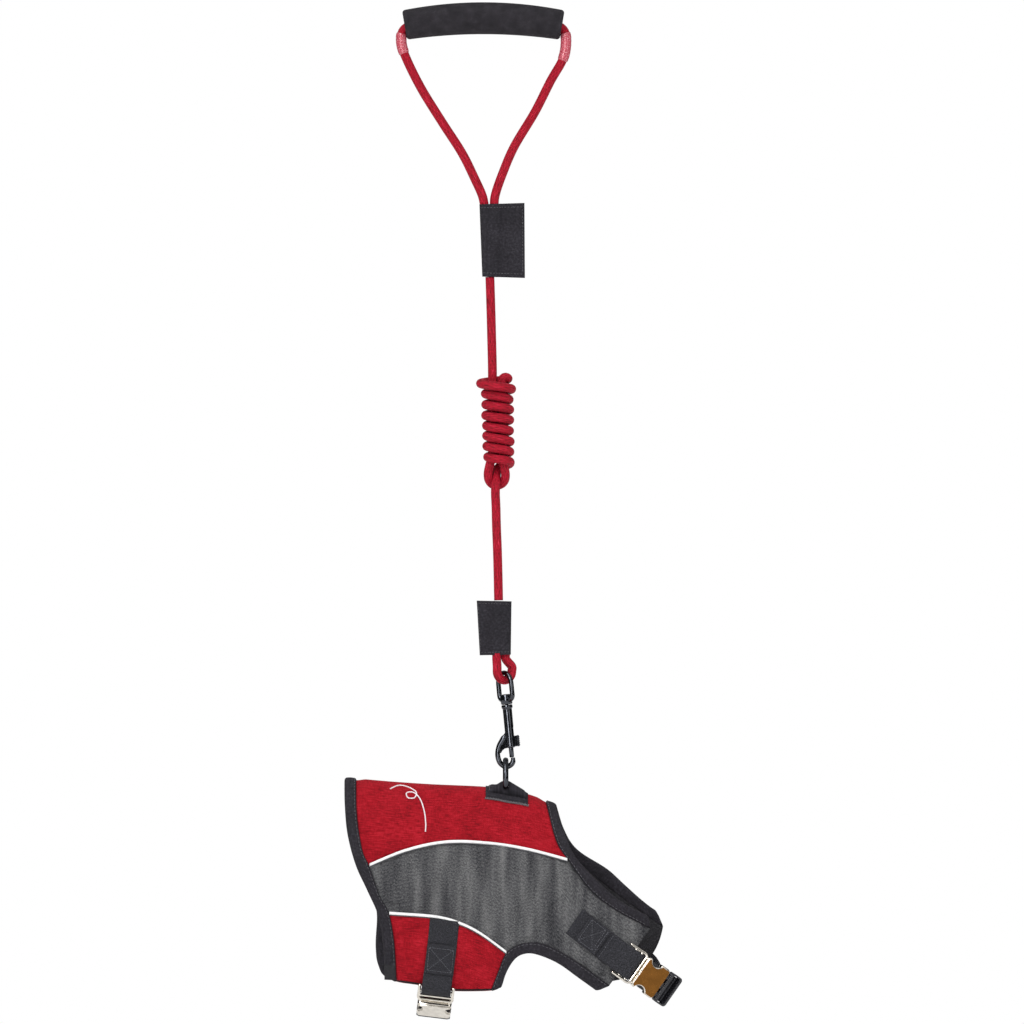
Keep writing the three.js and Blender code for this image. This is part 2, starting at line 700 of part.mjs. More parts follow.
function chestFastening() {
  const lift = layer.strap[0] + web.thick / 2;
  return fastening("chest", {
    down: at(0.82, 0, -0.572).normalize(),
    turn: 18,
    start: skin(116.6, -796.8, NEAR, 4.6),
    sewn: [skin(77.2, -766.3, NEAR, lift), skin(88, -774.8, NEAR, lift), skin(99, -783.3, NEAR, lift + 0.3),
      skin(109, -791, NEAR, lift + 2.6)],
    home: [
      at(160, -10, -823), at(161, 8, -820), at(157, 23, -814), skin(134, -809, FAR, lift + 2.8),
      skin(122, -800, FAR, lift + 1.8), skin(108, -789.5, FAR, lift + 1.6), skin(94, -779, FAR, lift + 1.4),
      skin(80, -768.5, FAR, lift + 1),
    ],
  });
}

// ---------------------------------------------------------------- leash

const handleRoute = [
  [0.6, -157.3], [-0.8, -151], [-7, -137], [-18.1, -114.6], [-35.1, -88.2], [-53.4, -58.5], [-66.8, -31],
  [-69.8, -18], [-67.5, -9.5], [-58, -5.2], [-35, -1.6], [0, 0], [35, -1.6], [58, -5.2], [67.5, -9],
  [70.3, -17.5], [68, -34], [57.2, -53.4], [43.9, -79.7], [26.1, -109.5], [15.6, -134.1], [10, -151],
  [9.1, -157.3],
];
const handleSteps = 48;
const handleCurve = curveThrough(handleRoute.map(([x, z]) => at(x, 0, z)));

function gripPiece() {
  const half = grip.length / 2;
  const shares = [-1, -0.5, 0, 0.5, 1];
  const arc = curveThrough(shares.map((share) => at(share * half, 0, -grip.rise * share * share)));
  return cut(
    tube(arc, grip.radius, 14, 10),
    tube(handleCurve, rope.radius + grip.boreGap, rope.sides, handleSteps),
  );
}

// A thin sleeve over the rope, between two steps of the rope's own tube.
function whippingPiece(from, to) {
  const step = handleCurve.getLength() / handleSteps;
  const sleeve = (extra, radius) => (
    tube(stretch(handleCurve, (from - extra) * step, (to + extra) * step, 4), radius, 12, 2)
  );
  return cut(sleeve(0, whipping.outer), sleeve(0.3, whipping.inner));
}

// A fabric wrap: a round lobe over the rope with a flat flap on one side.
function sleevePiece({ left, right, top, bottom, thick, flap, lobe: lobeWidth }, flapSide) {
  const lobe = flapSide > 0 ? left + lobeWidth / 2 : right - lobeWidth / 2;
  const reach = flapSide > 0 ? right - lobe : lobe - left;
  const points = [new THREE.Vector2(reach, -flap / 2), new THREE.Vector2(reach, flap / 2)];
  for (let turn = 30; turn <= 330; turn += 30) {
    const angle = radians(turn);
    points.push(new THREE.Vector2((lobeWidth / 2) * Math.cos(angle), (thick / 2) * Math.sin(angle)));
  }
  const outline = new THREE.Shape(points);
  const geometry = new THREE.ExtrudeGeometry(outline, { depth: top - bottom, bevelEnabled: false });
  if (flapSide < 0) geometry.rotateZ(Math.PI);
  return geometry.translate(lobe, 0, bottom);
}

function knotPiece() {
  const profile = [
    [0, 0], [10, 1], [16.5, 5.5], [17, 12], [14.9, 19], [14.9, 72], [12.5, 80], [12, 92], [8, 97.5],
    [0, knot.top - knot.bottom],
  ];
  const points = profile.map(([r, down]) => new THREE.Vector2(r, -down)).reverse();
  return new THREE.LatheGeometry(points, 14).rotateX(Math.PI / 2).translate(knot.x, 0, knot.top);
}

function ropeEyePiece() {
  const { x, bendZ, spread, turn, mouthX, mouth, mouthSkew } = eyeLoop;
  const top = lowerSleeve.bottom - GAP;
  const leg = (side, z) => at(mouthX + side * mouth, side * mouthSkew, z);
  const place = (reach, z) => at(
    x + reach * Math.cos(radians(turn)),
    reach * Math.sin(radians(turn)),
    z,
  );
  const path = [leg(-1, top), leg(-1, top - 3), place(-spread, bendZ + 4)];
  for (let angle = 180; angle <= 360; angle += 22.5) {
    path.push(place(spread * Math.cos(radians(angle)), bendZ + spread * Math.sin(radians(angle))));
  }
  path.push(place(spread, bendZ + 4), leg(1, top - 3), leg(1, top));
  return tube(curveThrough(path), rope.radius, rope.sides, 16);
}

function leash() {
  const straight = (...points) => tube(curveThrough(points), rope.radius, rope.sides, 5);
  return [
    makeMesh("foam_grip", gripPiece(), "foam"),
    makeMesh("handle_rope", tube(handleCurve, rope.radius, rope.sides, handleSteps), "rope"),
    makeMesh("whipping_left", whippingPiece(14.5, 15.8), "whipping"),
    makeMesh("whipping_right", whippingPiece(32.5, 33.9), "whipping"),
    makeMesh("upper_sleeve", sleevePiece(upperSleeve, 1), "charcoal"),
    makeMesh(
      "leash_rope_upper",
      straight(at(5.6, 0, upperSleeve.bottom - GAP), at(6.9, 0, -265), at(7.7, 0, knot.top + GAP)),
      "rope",
    ),
    makeMesh("wrapped_knot", knotPiece(), "rope"),
    makeMesh(
      "leash_rope_lower",
      straight(at(10.2, 0, knot.bottom - GAP), at(12, 0, -450), at(13, 0, lowerSleeve.top + GAP)),
      "rope",
    ),
    makeMesh("lower_sleeve", sleevePiece(lowerSleeve, -1), "charcoal"),
    makeMesh("rope_eye", ropeEyePiece(), "rope"),
  ];
}

// ---------------------------------------------------------------- assembly

const group = new THREE.Group();
group.add(...leash(), snap(), ...backFitting(), ...vestPanels(), ...bellyFastening(), ...chestFastening());

export default group;
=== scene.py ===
"""Looks for a small dog's harness vest that hangs from a rope leash.

Lengths below are in millimetres, in the CAD model's frame, and turn into metres where a mesh is made.
+X points to the dog's head and +Y to its far side; the near side, towards -Y, is what the camera sees.
"""
from math import acos, atan2, cos, hypot, pi, radians, sin, sqrt

import bmesh
import bpy
import numpy as np
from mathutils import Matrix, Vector


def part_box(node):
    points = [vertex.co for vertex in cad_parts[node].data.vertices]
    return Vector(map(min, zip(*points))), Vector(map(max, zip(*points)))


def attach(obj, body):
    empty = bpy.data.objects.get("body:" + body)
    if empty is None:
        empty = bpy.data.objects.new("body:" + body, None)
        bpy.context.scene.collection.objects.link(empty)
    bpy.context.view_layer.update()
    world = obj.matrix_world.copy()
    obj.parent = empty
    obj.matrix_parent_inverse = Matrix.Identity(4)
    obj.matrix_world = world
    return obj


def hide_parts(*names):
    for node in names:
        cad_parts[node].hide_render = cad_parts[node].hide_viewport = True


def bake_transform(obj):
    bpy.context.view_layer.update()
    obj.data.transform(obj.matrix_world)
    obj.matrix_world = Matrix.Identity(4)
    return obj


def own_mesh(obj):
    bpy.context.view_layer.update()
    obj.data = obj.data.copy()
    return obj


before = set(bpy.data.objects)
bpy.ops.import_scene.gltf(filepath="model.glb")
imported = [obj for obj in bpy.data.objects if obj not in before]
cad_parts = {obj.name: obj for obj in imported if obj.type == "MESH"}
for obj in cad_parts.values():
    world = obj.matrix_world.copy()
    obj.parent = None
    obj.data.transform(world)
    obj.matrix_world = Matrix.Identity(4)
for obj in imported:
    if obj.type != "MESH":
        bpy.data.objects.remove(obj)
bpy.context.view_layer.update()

MM = 0.001
NEAR, FAR = -1, 1
SIDES = ((NEAR, "near"), (FAR, "far"))

# ---------------------------------------------------------------- driving dimensions

GRIP = {"length": 134, "radius": 13.6, "end_radius": 12.7, "rise": 5.8, "edge": 2.6}
ROPE = 3.8
WHIPPING = {"wall": 0.75, "end": 0.45, "left": (-31, -12), "right": (-36, -12)}
SLEEVE = {"deep": 5, "swell": 6.4, "flat": 1.25, "edge": 1.4, "hem": 5, "lift": 0.25}
UPPER_SLEEVE = {
    "left": -3.3, "right": 35, "top": -158.2, "bottom": -219.6,
    "ropes": ((1.4, 4.6), (9.4, 7.2)), "slant": (2.4, 0.4), "droop": -1.2,
}
LOWER_SLEEVE = {
    "left": -5.6, "right": 24, "top": -495, "bottom": -541.5,
    "ropes": ((13, 11), (14.5, 19)), "slant": (2.6, -0.6), "droop": 0.6,
}
COIL = {"turns": 8, "per_turn": 16, "front": -312.8, "pitch": 8.9, "x": (11.6, 13.2), "radius": (10.7, 9.9)}
EYE = {"x": 18, "bend_z": -555, "spread": 7.6, "turn": 35, "mouth_x": 15.3, "mouth": 3.9, "skew": 1.6}
SNAP = {
    "tilt": 5.5, "eye_half": 9.5, "eye_corner": 4, "eye_wire": 2.05, "shoulder": -3.3, "foot": -16.8,
    "neck": 1.8, "collar": 4.7, "wall": 3.9, "bore": 2.5, "hook_wire": 2, "spring": (-28.3, -39.7),
    "spring_turns": 7, "spring_radius": 1.7,
}
SNAP_TOP = (EYE["x"], 0, EYE["bend_z"] - EYE["spread"])      # where the snap's axis meets the rope eye
D_RING = {"x": 19, "wire": 2.4, "half_width": 16, "bar_z": -652.7, "bow_z": -630.7}
BODY = {
    "half_width": 38, "crown": 100, "tuck": 0.00125, "chest_from": 80, "chest_reach": 80, "chest_pull": 0.5,
}
PANEL = {"swell": 1.5, "sunk": 0.7, "seam": 9, "inner": -2.4, "lining": (-2.5, -4.3)}
FOLD = {"slant": (0.86, 0.5), "pitch": 23, "depth": 0.75, "center": -8, "reach": 62}
HELD_FLAT = (      # (from, to, radius) under the straps, the embroidery and the ring's patch
    ((-32.7, -762), (-38.6, -822), 13),
    ((76, -765.5), (112, -793), 13),
    ((-74, -656), (-50, -690), 9),
    ((4, -656), (36, -660), 9),
)
BAND = {"ease": 1.6, "wobble": 0.18, "rounding": (3, 6)}
HEM_STITCH = {"at": 0.86, "lift": 1.15, "pitch": 3.4, "length": 2.312}
# seam: how far below the cord's middle its painted shadow line runs
PIPE = {"radius": 1.25, "lift": 0.1, "seam": 1.7}
PATCH = {"rear": 2, "front": 38, "drop": 10, "stitches": 58}
WEB = {"width": 25, "thick": 1.6, "tuck": 2.6, "lift": 1.1, "doubled_lift": 2.8}
BUCKLE = {
    "frame": 19, "frame_width": 31, "rail": 1.35, "bar": 1.2, "bars": (7, 13, 17.6), "contour": 20,
    "shell": 23, "width": 29, "height": 7, "scallop_at": 9, "male": 14, "mouth": 1.4, "slot": (3.2, 11.2),
}
BELLY = {      # places on the vest are (x, z, lift), and the hanging ones (x, y, z)
    "down": (-0.12, 0, -0.993), "turn": 64, "start": (-39.4, -820.5, 4.4), "wraps": 0,
    "sewn": (
        (-32.7, -765.2, -0.5), (-34.2, -781, 0), (-35.7, -794, 0), (-37.4, -807, 0.6), (-38.6, -815, 2.3),
    ),
    "doubled": ((-34.7, -786, 0.2), (-35.7, -794, 0), (-37.2, -806, 0.5), (-37.7, -811, 1)),
    "hanging": ((-42, 15, -840.5), (-41, 28, -833)),
    "home": ((-39.5, -817, 2.9), (-38, -806, 1.5), (-36, -790, 1.5), (-33.5, -772, 1.5)),
    "box": ((-35.3, -789.5, 3.8), (-37.3, -808.5, 4.5)), "rows": (),
}
CHEST = {
    "down": (0.82, 0, -0.572), "turn": 18, "start": (116.6, -796.8, 4.6), "wraps": 1,
    "sewn": ((77.2, -766.3, 0), (88, -774.8, 0), (99, -783.3, 0.3), (109, -791, 2.6)),
    "doubled": ((84.5, -772.1, 0.1), (94, -779.5, 0.1), (101.5, -785.3, 0.7)),
    "hanging": ((155, -9, -824.5), (153, 6, -823.5), (146.5, 18, -819.5)),
    "home": ((124, -806, 3.9), (115, -798, 2.9), (104, -789, 2.7), (91, -779, 2.5), (78, -768.5, 2.1)),
    "box": ((86.4, -773.6, 3.9), (98, -782.5, 4.1)), "rows": ((99.8, -784, 4.3), (104.3, -787.5, 3.5)),
}
VIEW = {"x": 24.4, "z": -419.7, "width": 870.4, "away": 12000}
FLOOR = {"z": -1000, "radius": 3000}
SKY = {"low": 0.35, "high": 1.0, "front": 1.2, "back": 0.8}      # soft light, by height and by depth
STRIP = {"at": -0.3, "width": 0.08, "bright": 13, "dark": 0.06, "above": 0.5}      # what metal mirrors

CORNER = {
    "rear_top": (-108, -647),
    "rear_upper": (-97, -719),
    "rear_lower": (-80, -759.5),
    "rear_bottom": (-73.5, -816.5),
    "neck_top": (53.3, -665.6),
    "neck_upper": (72, -714.5),
    "chest_top": (141.7, -773),
    "chest_bottom": (107, -821),
    "leg_upper": (20, -793),
    "leg_bottom": (7.2, -824),
}

# ---------------------------------------------------------------- lines and surfaces


def travelled(line):
    """How far along a line each of its points is."""
    return np.concatenate([[0], np.cumsum(np.linalg.norm(np.diff(line, axis=0), axis=1))])


def at_distances(line, wanted, values):
    """The values, which have one row for each point of a line, at those distances along it."""
    along = travelled(line)
    return np.column_stack([np.interp(wanted, along, column) for column in values.T])


def resample(line, count):
    """The line again, as that many points spread evenly along it."""
    return at_distances(line, np.linspace(0, travelled(line)[-1], count), line)


def unit(vectors):
    vectors = np.asarray(vectors, float)
    return vectors / np.linalg.norm(vectors, axis=-1, keepdims=True)


def circle(count):
    """That many angles, spread evenly round a circle."""
    return np.linspace(0, 2 * pi, count, endpoint=False)


def spline(*points, count=200):
    """Even points on a smooth line through the given ones."""
    given = np.array(points, float)
    held = np.vstack([given[:1], given, given[-1:]])
    t = np.linspace(0, 1, 24, endpoint=False)[:, None]
    pieces = []
    for i in range(len(given) - 1):
        p0, p1, p2, p3 = held[i:i + 4]
        leave, arrive = (p2 - p0) / 2, (p3 - p1) / 2
        bend = (2 * p1 - 2 * p2 + leave + arrive) * t ** 3
        pieces.append(bend + (3 * p2 - 3 * p1 - 2 * leave - arrive) * t ** 2 + leave * t + p1)
    pieces.append(given[-1:])
    return resample(np.vstack(pieces), count)


def on(line, share):
    """The points at those shares, from 0 to 1, of an even line."""
    place = np.clip(share, 0, 1) * (len(line) - 1)
    index = np.arange(len(line))
    return np.stack([np.interp(place, index, line[:, k]) for k in range(line.shape[1])], axis=-1)


def smooth(value, low, high):
    t = np.clip((value - low) / (high - low), 0, 1)
    return t * t * (3 - 2 * t)


def mix(a, b, t):
    return a + (b - a) * t


C = CORNER      # short for the outlines below
RIDGE = spline(
    (-118, -646), (-94, -647), (-79, -649.5), (-44.5, -651.8), (1.7, -654), (20, -657), (37, -660),
    (53.3, -665.6), (60, -667), (100, -677), (150, -692),
)
UPPER_RUN = (
    C["rear_upper"], (-66, -706.5), (-33, -699.5), (0, -700), (35, -705), C["neck_upper"],
)
NECK_RUN = ((90, -739.5), (110.5, -756), C["chest_top"])
UPPER_SEAM = spline(*UPPER_RUN)
LOWER_SEAM = spline(C["rear_lower"], (-41, -762.5), (-20, -768), (-2, -777), C["leg_upper"])
BELLY_EDGE = spline(C["rear_bottom"], (-52, -819.5), (-26, -824), C["leg_bottom"])
REAR_INNER = spline(
    C["rear_top"], (-107, -678), (-102.5, -706), C["rear_upper"], (-88, -744), C["rear_lower"],
    (-75.5, -784), C["rear_bottom"],
)
REAR_OUTER = spline(
    (-118, -646), (-117.5, -668), (-115, -693), (-108, -719), (-98, -741), (-88.7, -763), (-84.5, -790),
    (-83.5, -816),
)
NECK_INNER = spline(C["neck_top"], (59.5, -691), (64.5, -704), C["neck_upper"], *NECK_RUN)
NECK_OUTER = spline((62.5, -668.5), (68.5, -689.5), (78, -711), (99, -734), (118, -750.5), (141.7, -763))
LEG_INNER = spline(
    C["chest_bottom"], (81, -802), (62.5, -791), (47, -785), (33, -785.5), C["leg_upper"], (13.5, -807.5),
    C["leg_bottom"],
)
LEG_OUTER = spline(
    (97.5, -827), (81, -815), (62.5, -802), (44, -794.6), (33, -795), (25.5, -800.5), (19, -812),
    (15, -825),
)


def ridge_height(x):
    return np.interp(x, RIDGE[:, 0], RIDGE[:, 1])


def flare(x, z, drop):
    """How far the far side flares at the neck, bulges at the chest end and flares back at the belly."""
    chest = smooth(x, 55, 100) * smooth(drop, 15, 55)
    neck = smooth(x, 60, 100) * (1 - smooth(x, 110, 142)) * (1 - smooth(drop, 60, 110))
    belly = smooth(-x, 55, 90) * smooth(drop, 100, 145) * (1 - 0.8 * smooth(drop, 148, 172))
    hem = smooth(drop, 120, 160) * (1 - smooth(x, 0, 40)) * smooth(x, -96, -66)
    top, bottom = C["chest_top"], C["chest_bottom"]
    end = bottom[0] - top[0], bottom[1] - top[1]
    length = hypot(*end)
    share = np.clip(((x - top[0]) * end[0] + (z - top[1]) * end[1]) / length ** 2, -0.15, 1.05)
    short = ((x - top[0]) * end[1] - (z - top[1]) * end[0]) / length
    bulge = (6 - 34 * (share - 0.45) ** 2) * (1 - smooth(short, 0, 30))
    shift_x = 12 * chest - 8 * belly - bulge * end[1] / length
    return shift_x, 6 * neck - 4 * hem + bulge * end[0] / length


def skin(x, z, side, lift):
    """Points of the vest at (x, z) of the side view, lifted off the panels' outer face. side is -1 or 1."""
    x, z, side, lift = np.broadcast_arrays(*(np.asarray(v, float) for v in (x, z, side, lift)))
    drop = np.maximum(0, ridge_height(x) - z)
    pull = np.maximum(0, (x - BODY["chest_from"]) / BODY["chest_reach"]) ** 2
    wide = BODY["half_width"] * (1 - BODY["chest_pull"] * pull)
    rise = np.clip(1 - drop / BODY["crown"], 0, 1)
    share = np.sqrt(1 - rise * rise)
    below = np.maximum(0, drop - BODY["crown"])
    half = share * wide - BODY["tuck"] * below ** 2
    out = share / wide
    up = rise / BODY["crown"]
    up = np.where(below > 0, -2 * BODY["tuck"] * below * out, up)
    length = np.hypot(out, up)
    shift_x, shift_z = flare(x, z, drop)
    far = side > 0
    return np.stack([
        x + np.where(far, shift_x, 0),
        side * (half + out / length * lift),
        z + up / length * lift + np.where(far, shift_z, 0),
    ], axis=-1)


def patch(lower, upper, rear, front):
    """A four-sided patch of the side view, as a function of (u, v); its edges run up and to the right."""
    def shape(u, v):
        u, v = u[..., None], v[..., None]
        low = mix(lower[0], lower[-1], u)
        high = mix(upper[0], upper[-1], u)
        along = mix(on(lower, u[..., 0]), on(upper, u[..., 0]), v)
        across = mix(on(rear, v[..., 0]), on(front, v[..., 0]), u)
        return along + across - mix(low, high, v)
    return shape


def part_of(line, first, last):
    """The stretch of a line between the points nearest to two given ones."""
    ends = [int(np.argmin(np.linalg.norm(line - np.array(p), axis=1))) for p in (first, last)]
    return resample(line[ends[0]:ends[1] + 1], 80)


SIDE_TOP = spline(*UPPER_RUN, *NECK_RUN)
SIDE_BOTTOM = spline(
    C["rear_lower"], (-41, -762.5), (-2, -777), C["leg_upper"], (30, -787), (47, -785), (62.5, -791),
    (81, -802), C["chest_bottom"],
)
BACK_EDGE = spline(
    C["rear_top"], (-79, -649.5), (-44.5, -651.8), (1.7, -654), (20, -657), (37, -660), C["neck_top"],
)
REAR_UPPER = part_of(REAR_INNER, C["rear_top"], C["rear_upper"])
REAR_MIDDLE = part_of(REAR_INNER, C["rear_upper"], C["rear_lower"])
REAR_LOWER = part_of(REAR_INNER, C["rear_lower"], C["rear_bottom"])
NECK_UPPER = part_of(NECK_INNER, C["neck_top"], C["neck_upper"])
LEG_LOWER = part_of(LEG_INNER, C["leg_upper"], C["leg_bottom"])
CHEST_END = spline(C["chest_bottom"], C["chest_top"])

BACK_SHAPE = patch(UPPER_SEAM, BACK_EDGE, REAR_UPPER[::-1], NECK_UPPER[::-1])
SIDE_SHAPE = patch(SIDE_BOTTOM, SIDE_TOP, REAR_MIDDLE[::-1], CHEST_END)
BELLY_SHAPE = patch(BELLY_EDGE, LOWER_SEAM, REAR_LOWER[::-1], LEG_LOWER[::-1])

# ---------------------------------------------------------------- meshes


def face_outward(data):
    """Points the faces of a closed mesh outward."""
    work = bmesh.new()
    work.from_mesh(data)
    bmesh.ops.recalc_face_normals(work, faces=work.faces)
    work.to_mesh(data)
    work.free()


def make_mesh(name, points, faces, material, uv=None, shade=True):
    """A mesh piece from points in millimetres; uv holds one pair for each point."""
    data = bpy.data.meshes.new(name)
    data.from_pydata((np.asarray(points, float) * MM).tolist(), [], faces)
    if uv is not None:
        layer = data.uv_layers.new(name="uv")
        corners = np.empty(len(data.loops), int)
        data.loops.foreach_get("vertex_index", corners)
        layer.data.foreach_set("uv", np.asarray(uv, float)[corners].ravel())
    data.validate()
    face_outward(data)
    if shade:
        data.shade_smooth()
    data.materials.append(material)
    piece = bpy.data.objects.new(name, data)
    bpy.context.scene.collection.objects.link(piece)
    return piece


def grid_faces(rows, columns, wrap=False, start=0):
    """Quads of a grid of points numbered row by row; wrap closes each row into a ring."""
    last = columns if wrap else columns - 1
    faces = []
    for r in range(rows - 1):
        for c in range(last):
            a = start + r * columns + c
            b = start + r * columns + (c + 1) % columns
            faces.append((a, b, b + columns, a + columns))
    return faces


def rings(name, layers, material, uv=None):
    """A closed skin through rings of points: layers is (rings, points, 3)."""
    layers = np.asarray(layers, float)
    rows, columns = layers.shape[:2]
    faces = grid_faces(rows, columns, wrap=True)
    faces.append(tuple(range(columns)))
    faces.append(tuple(range((rows - 1) * columns, rows * columns)))
    flat_uv = None if uv is None else np.asarray(uv, float).reshape(-1, 2)
    return make_mesh(name, layers.reshape(-1, 3), faces, material, flat_uv)


def side_directions(line):
    """Two side directions at each point of a line, turned as little as possible on the way."""
    ahead = unit(np.gradient(line, axis=0))
    side = np.cross(ahead[0], (0, 1, 0) if abs(ahead[0][1]) < 0.9 else (1, 0, 0))
    sides = []
    for direction in ahead:
        side = unit(side - direction * (side @ direction))
        sides.append(side)
    return np.array(sides), np.cross(ahead, sides)


def tube(name, line, radius, material, count=20):
    """A round tube; radius is a number or one for each point. Its uv is (share of the way round, along)."""
    line = np.asarray(line, float)
    radii = np.broadcast_to(np.asarray(radius, float), len(line))
    left, up = side_directions(line)
    angles = circle(count)
    around = left[:, None] * np.cos(angles)[None, :, None] + up[:, None] * np.sin(angles)[None, :, None]
    layers = line[:, None] + around * radii[:, None, None]
    uv = np.stack(np.broadcast_arrays(np.arange(count)[None, :] / count, travelled(line)[:, None]), axis=-1)
    return rings(name, layers, material, uv)


def finish_piece(piece, body, slot, *nodes):
    """Rides the piece on its body and hides the CAD nodes that it stands for; slot is not used."""
    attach(piece, body)
    if nodes:
        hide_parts(*nodes)
    return piece


def stitches(name, places, directions, normals, material, length, width):
    """Small raised threads, one at each place, lying along its direction."""
    points, faces = [], []
    for place, along, up in zip(places, unit(directions), normals):
        up = unit(up - along * (up @ along))
        across = np.cross(up, along)
        start = len(points)
        for share, size in ((-0.5, 0.35), (-0.3, 1), (0.3, 1), (0.5, 0.35)):
            for angle in circle(6):
                round_about = across * cos(angle) + up * sin(angle) * 0.7
                points.append(place + along * length * share + round_about * width / 2 * size)
        faces += grid_faces(4, 6, wrap=True, start=start)
        faces.append(tuple(range(start, start + 6)))
        faces.append(tuple(range(start + 18, start + 24)))
    return make_mesh(name, points, faces, material)


def stitch_run(name, line, normal, material, pitch=3.4, length=2.2, width=0.55):
    """A row of stitches along a line in space; normal gives the outward direction at each point."""
    line = np.asarray(line, float)
    total = travelled(line)[-1]
    count = max(2, int(total / pitch))
    joined = np.column_stack([line, np.broadcast_to(normal, line.shape)])
    even = at_distances(line, (np.arange(count) + 0.5) * total / count, joined)
    direction = np.gradient(even[:, :3], axis=0)
    return stitches(name, even[:, :3], direction, even[:, 3:], material, length, width)


def combine(name, pieces):
    """Joins pieces that are one physical part into one object."""
    with bpy.context.temp_override(active_object=pieces[0], selected_editable_objects=pieces):
        bpy.ops.object.join()
    pieces[0].name = name
    return pieces[0]


def closed_tube(name, loop, radius, material, count=20):
    """A ring of tube along a flat closed loop."""
    loop = np.asarray(loop, float)
    ahead = unit(np.roll(loop, -1, axis=0) - np.roll(loop, 1, axis=0))
    plane = unit(np.cross(loop[len(loop) // 3] - loop[0], loop[2 * len(loop) // 3] - loop[0]))
    inward = np.cross(plane, ahead)
    angles = circle(count)
    layers = loop[:, None] + radius * (
        inward[:, None] * np.cos(angles)[None, :, None] + plane * np.sin(angles)[None, :, None]
    )
    faces = grid_faces(len(loop), count, wrap=True)
    last = (len(loop) - 1) * count
    faces += [(last + c, last + (c + 1) % count, (c + 1) % count, c) for c in range(count)]
    return make_mesh(name, layers.reshape(-1, 3), faces, material)


def lathe(name, profile, material, count=32):
    """A turned solid about the Z axis, from (radius, height) pairs listed along it."""
    layers = [[(r * cos(a), r * sin(a), z) for a in circle(count)] for r, z in profile]
    return rings(name, layers, material)


def eased(radius, low, high, edge=0.5):
    """The profile of a plain cylinder with rounded rims."""
    return [
        (radius - edge, low), (radius - 0.3 * edge, low + 0.3 * edge), (radius, low + edge),
        (radius, high - edge), (radius - 0.3 * edge, high - 0.3 * edge), (radius - edge, high),
    ]


def box_parts(low, high):
    """Points and faces of a plain box, for cutters and as the core of rounded blocks."""
    points = [(x, y, z) for x in (low[0], high[0]) for y in (low[1], high[1]) for z in (low[2], high[2])]
    faces = [(0, 1, 3, 2), (4, 6, 7, 5), (0, 4, 5, 1), (2, 3, 7, 6), (0, 2, 6, 4), (1, 5, 7, 3)]
    return points, faces


def apply(piece):
    """Makes the piece's modifiers permanent."""
    data = bpy.data.meshes.new_from_object(piece.evaluated_get(bpy.context.evaluated_depsgraph_get()))
    piece.modifiers.clear()
    piece.data = data


def cut(piece, cutter):
    modifier = piece.modifiers.new("cut", "BOOLEAN")
    modifier.object = cutter
    modifier.solver = "EXACT"
    apply(piece)
    bpy.data.objects.remove(cutter)


def level_faces(piece):
    """Shades the piece's large flat faces flat, so that only its rounded edges blend."""
    polygons = piece.data.polygons
    largest = max(polygon.area for polygon in polygons)
    for polygon in polygons:
        polygon.use_smooth = polygon.area < 0.06 * largest
    return piece


def bevelled(piece, edge, segments):
    """Rounds the piece's sharp edges in that many steps."""
    bevel = piece.modifiers.new("edge", "BEVEL")
    bevel.width = edge * MM
    bevel.segments = segments
    bevel.limit_method = "ANGLE"
    bevel.angle_limit = radians(40)
    apply(piece)
    return level_faces(piece)


def block(name, low, high, material, edge=0.6):
    """A box with rounded edges."""
    return bevelled(make_mesh(name, *box_parts(low, high), material), edge, 3)


def prism(name, outline, low, high, material, edge=0.4):
    """A flat outline (x, y) given thickness, with rounded edges."""
    count = len(outline)
    points = [(x, y, z) for z in (low, high) for x, y in outline]
    faces = [tuple(range(count)), tuple(range(count, 2 * count))]
    faces += [(k, (k + 1) % count, count + (k + 1) % count, count + k) for k in range(count)]
    return bevelled(make_mesh(name, points, faces, material), edge, 2)


def rounded(low, high, radius, steps=5):
    """The outline of a rectangle with rounded corners."""
    points = []
    corners = ((high[0], high[1], 0), (low[0], high[1], 90), (low[0], low[1], 180), (high[0], low[1], 270))
    for x, y, start in corners:
        cx = x - radius if x == high[0] else x + radius
        cy = y - radius if y == high[1] else y + radius
        for k in range(steps + 1):
            angle = radians(start + 90 * k / steps)
            points.append((cx + radius * cos(angle), cy + radius * sin(angle)))
    return points

# ---------------------------------------------------------------- material helpers


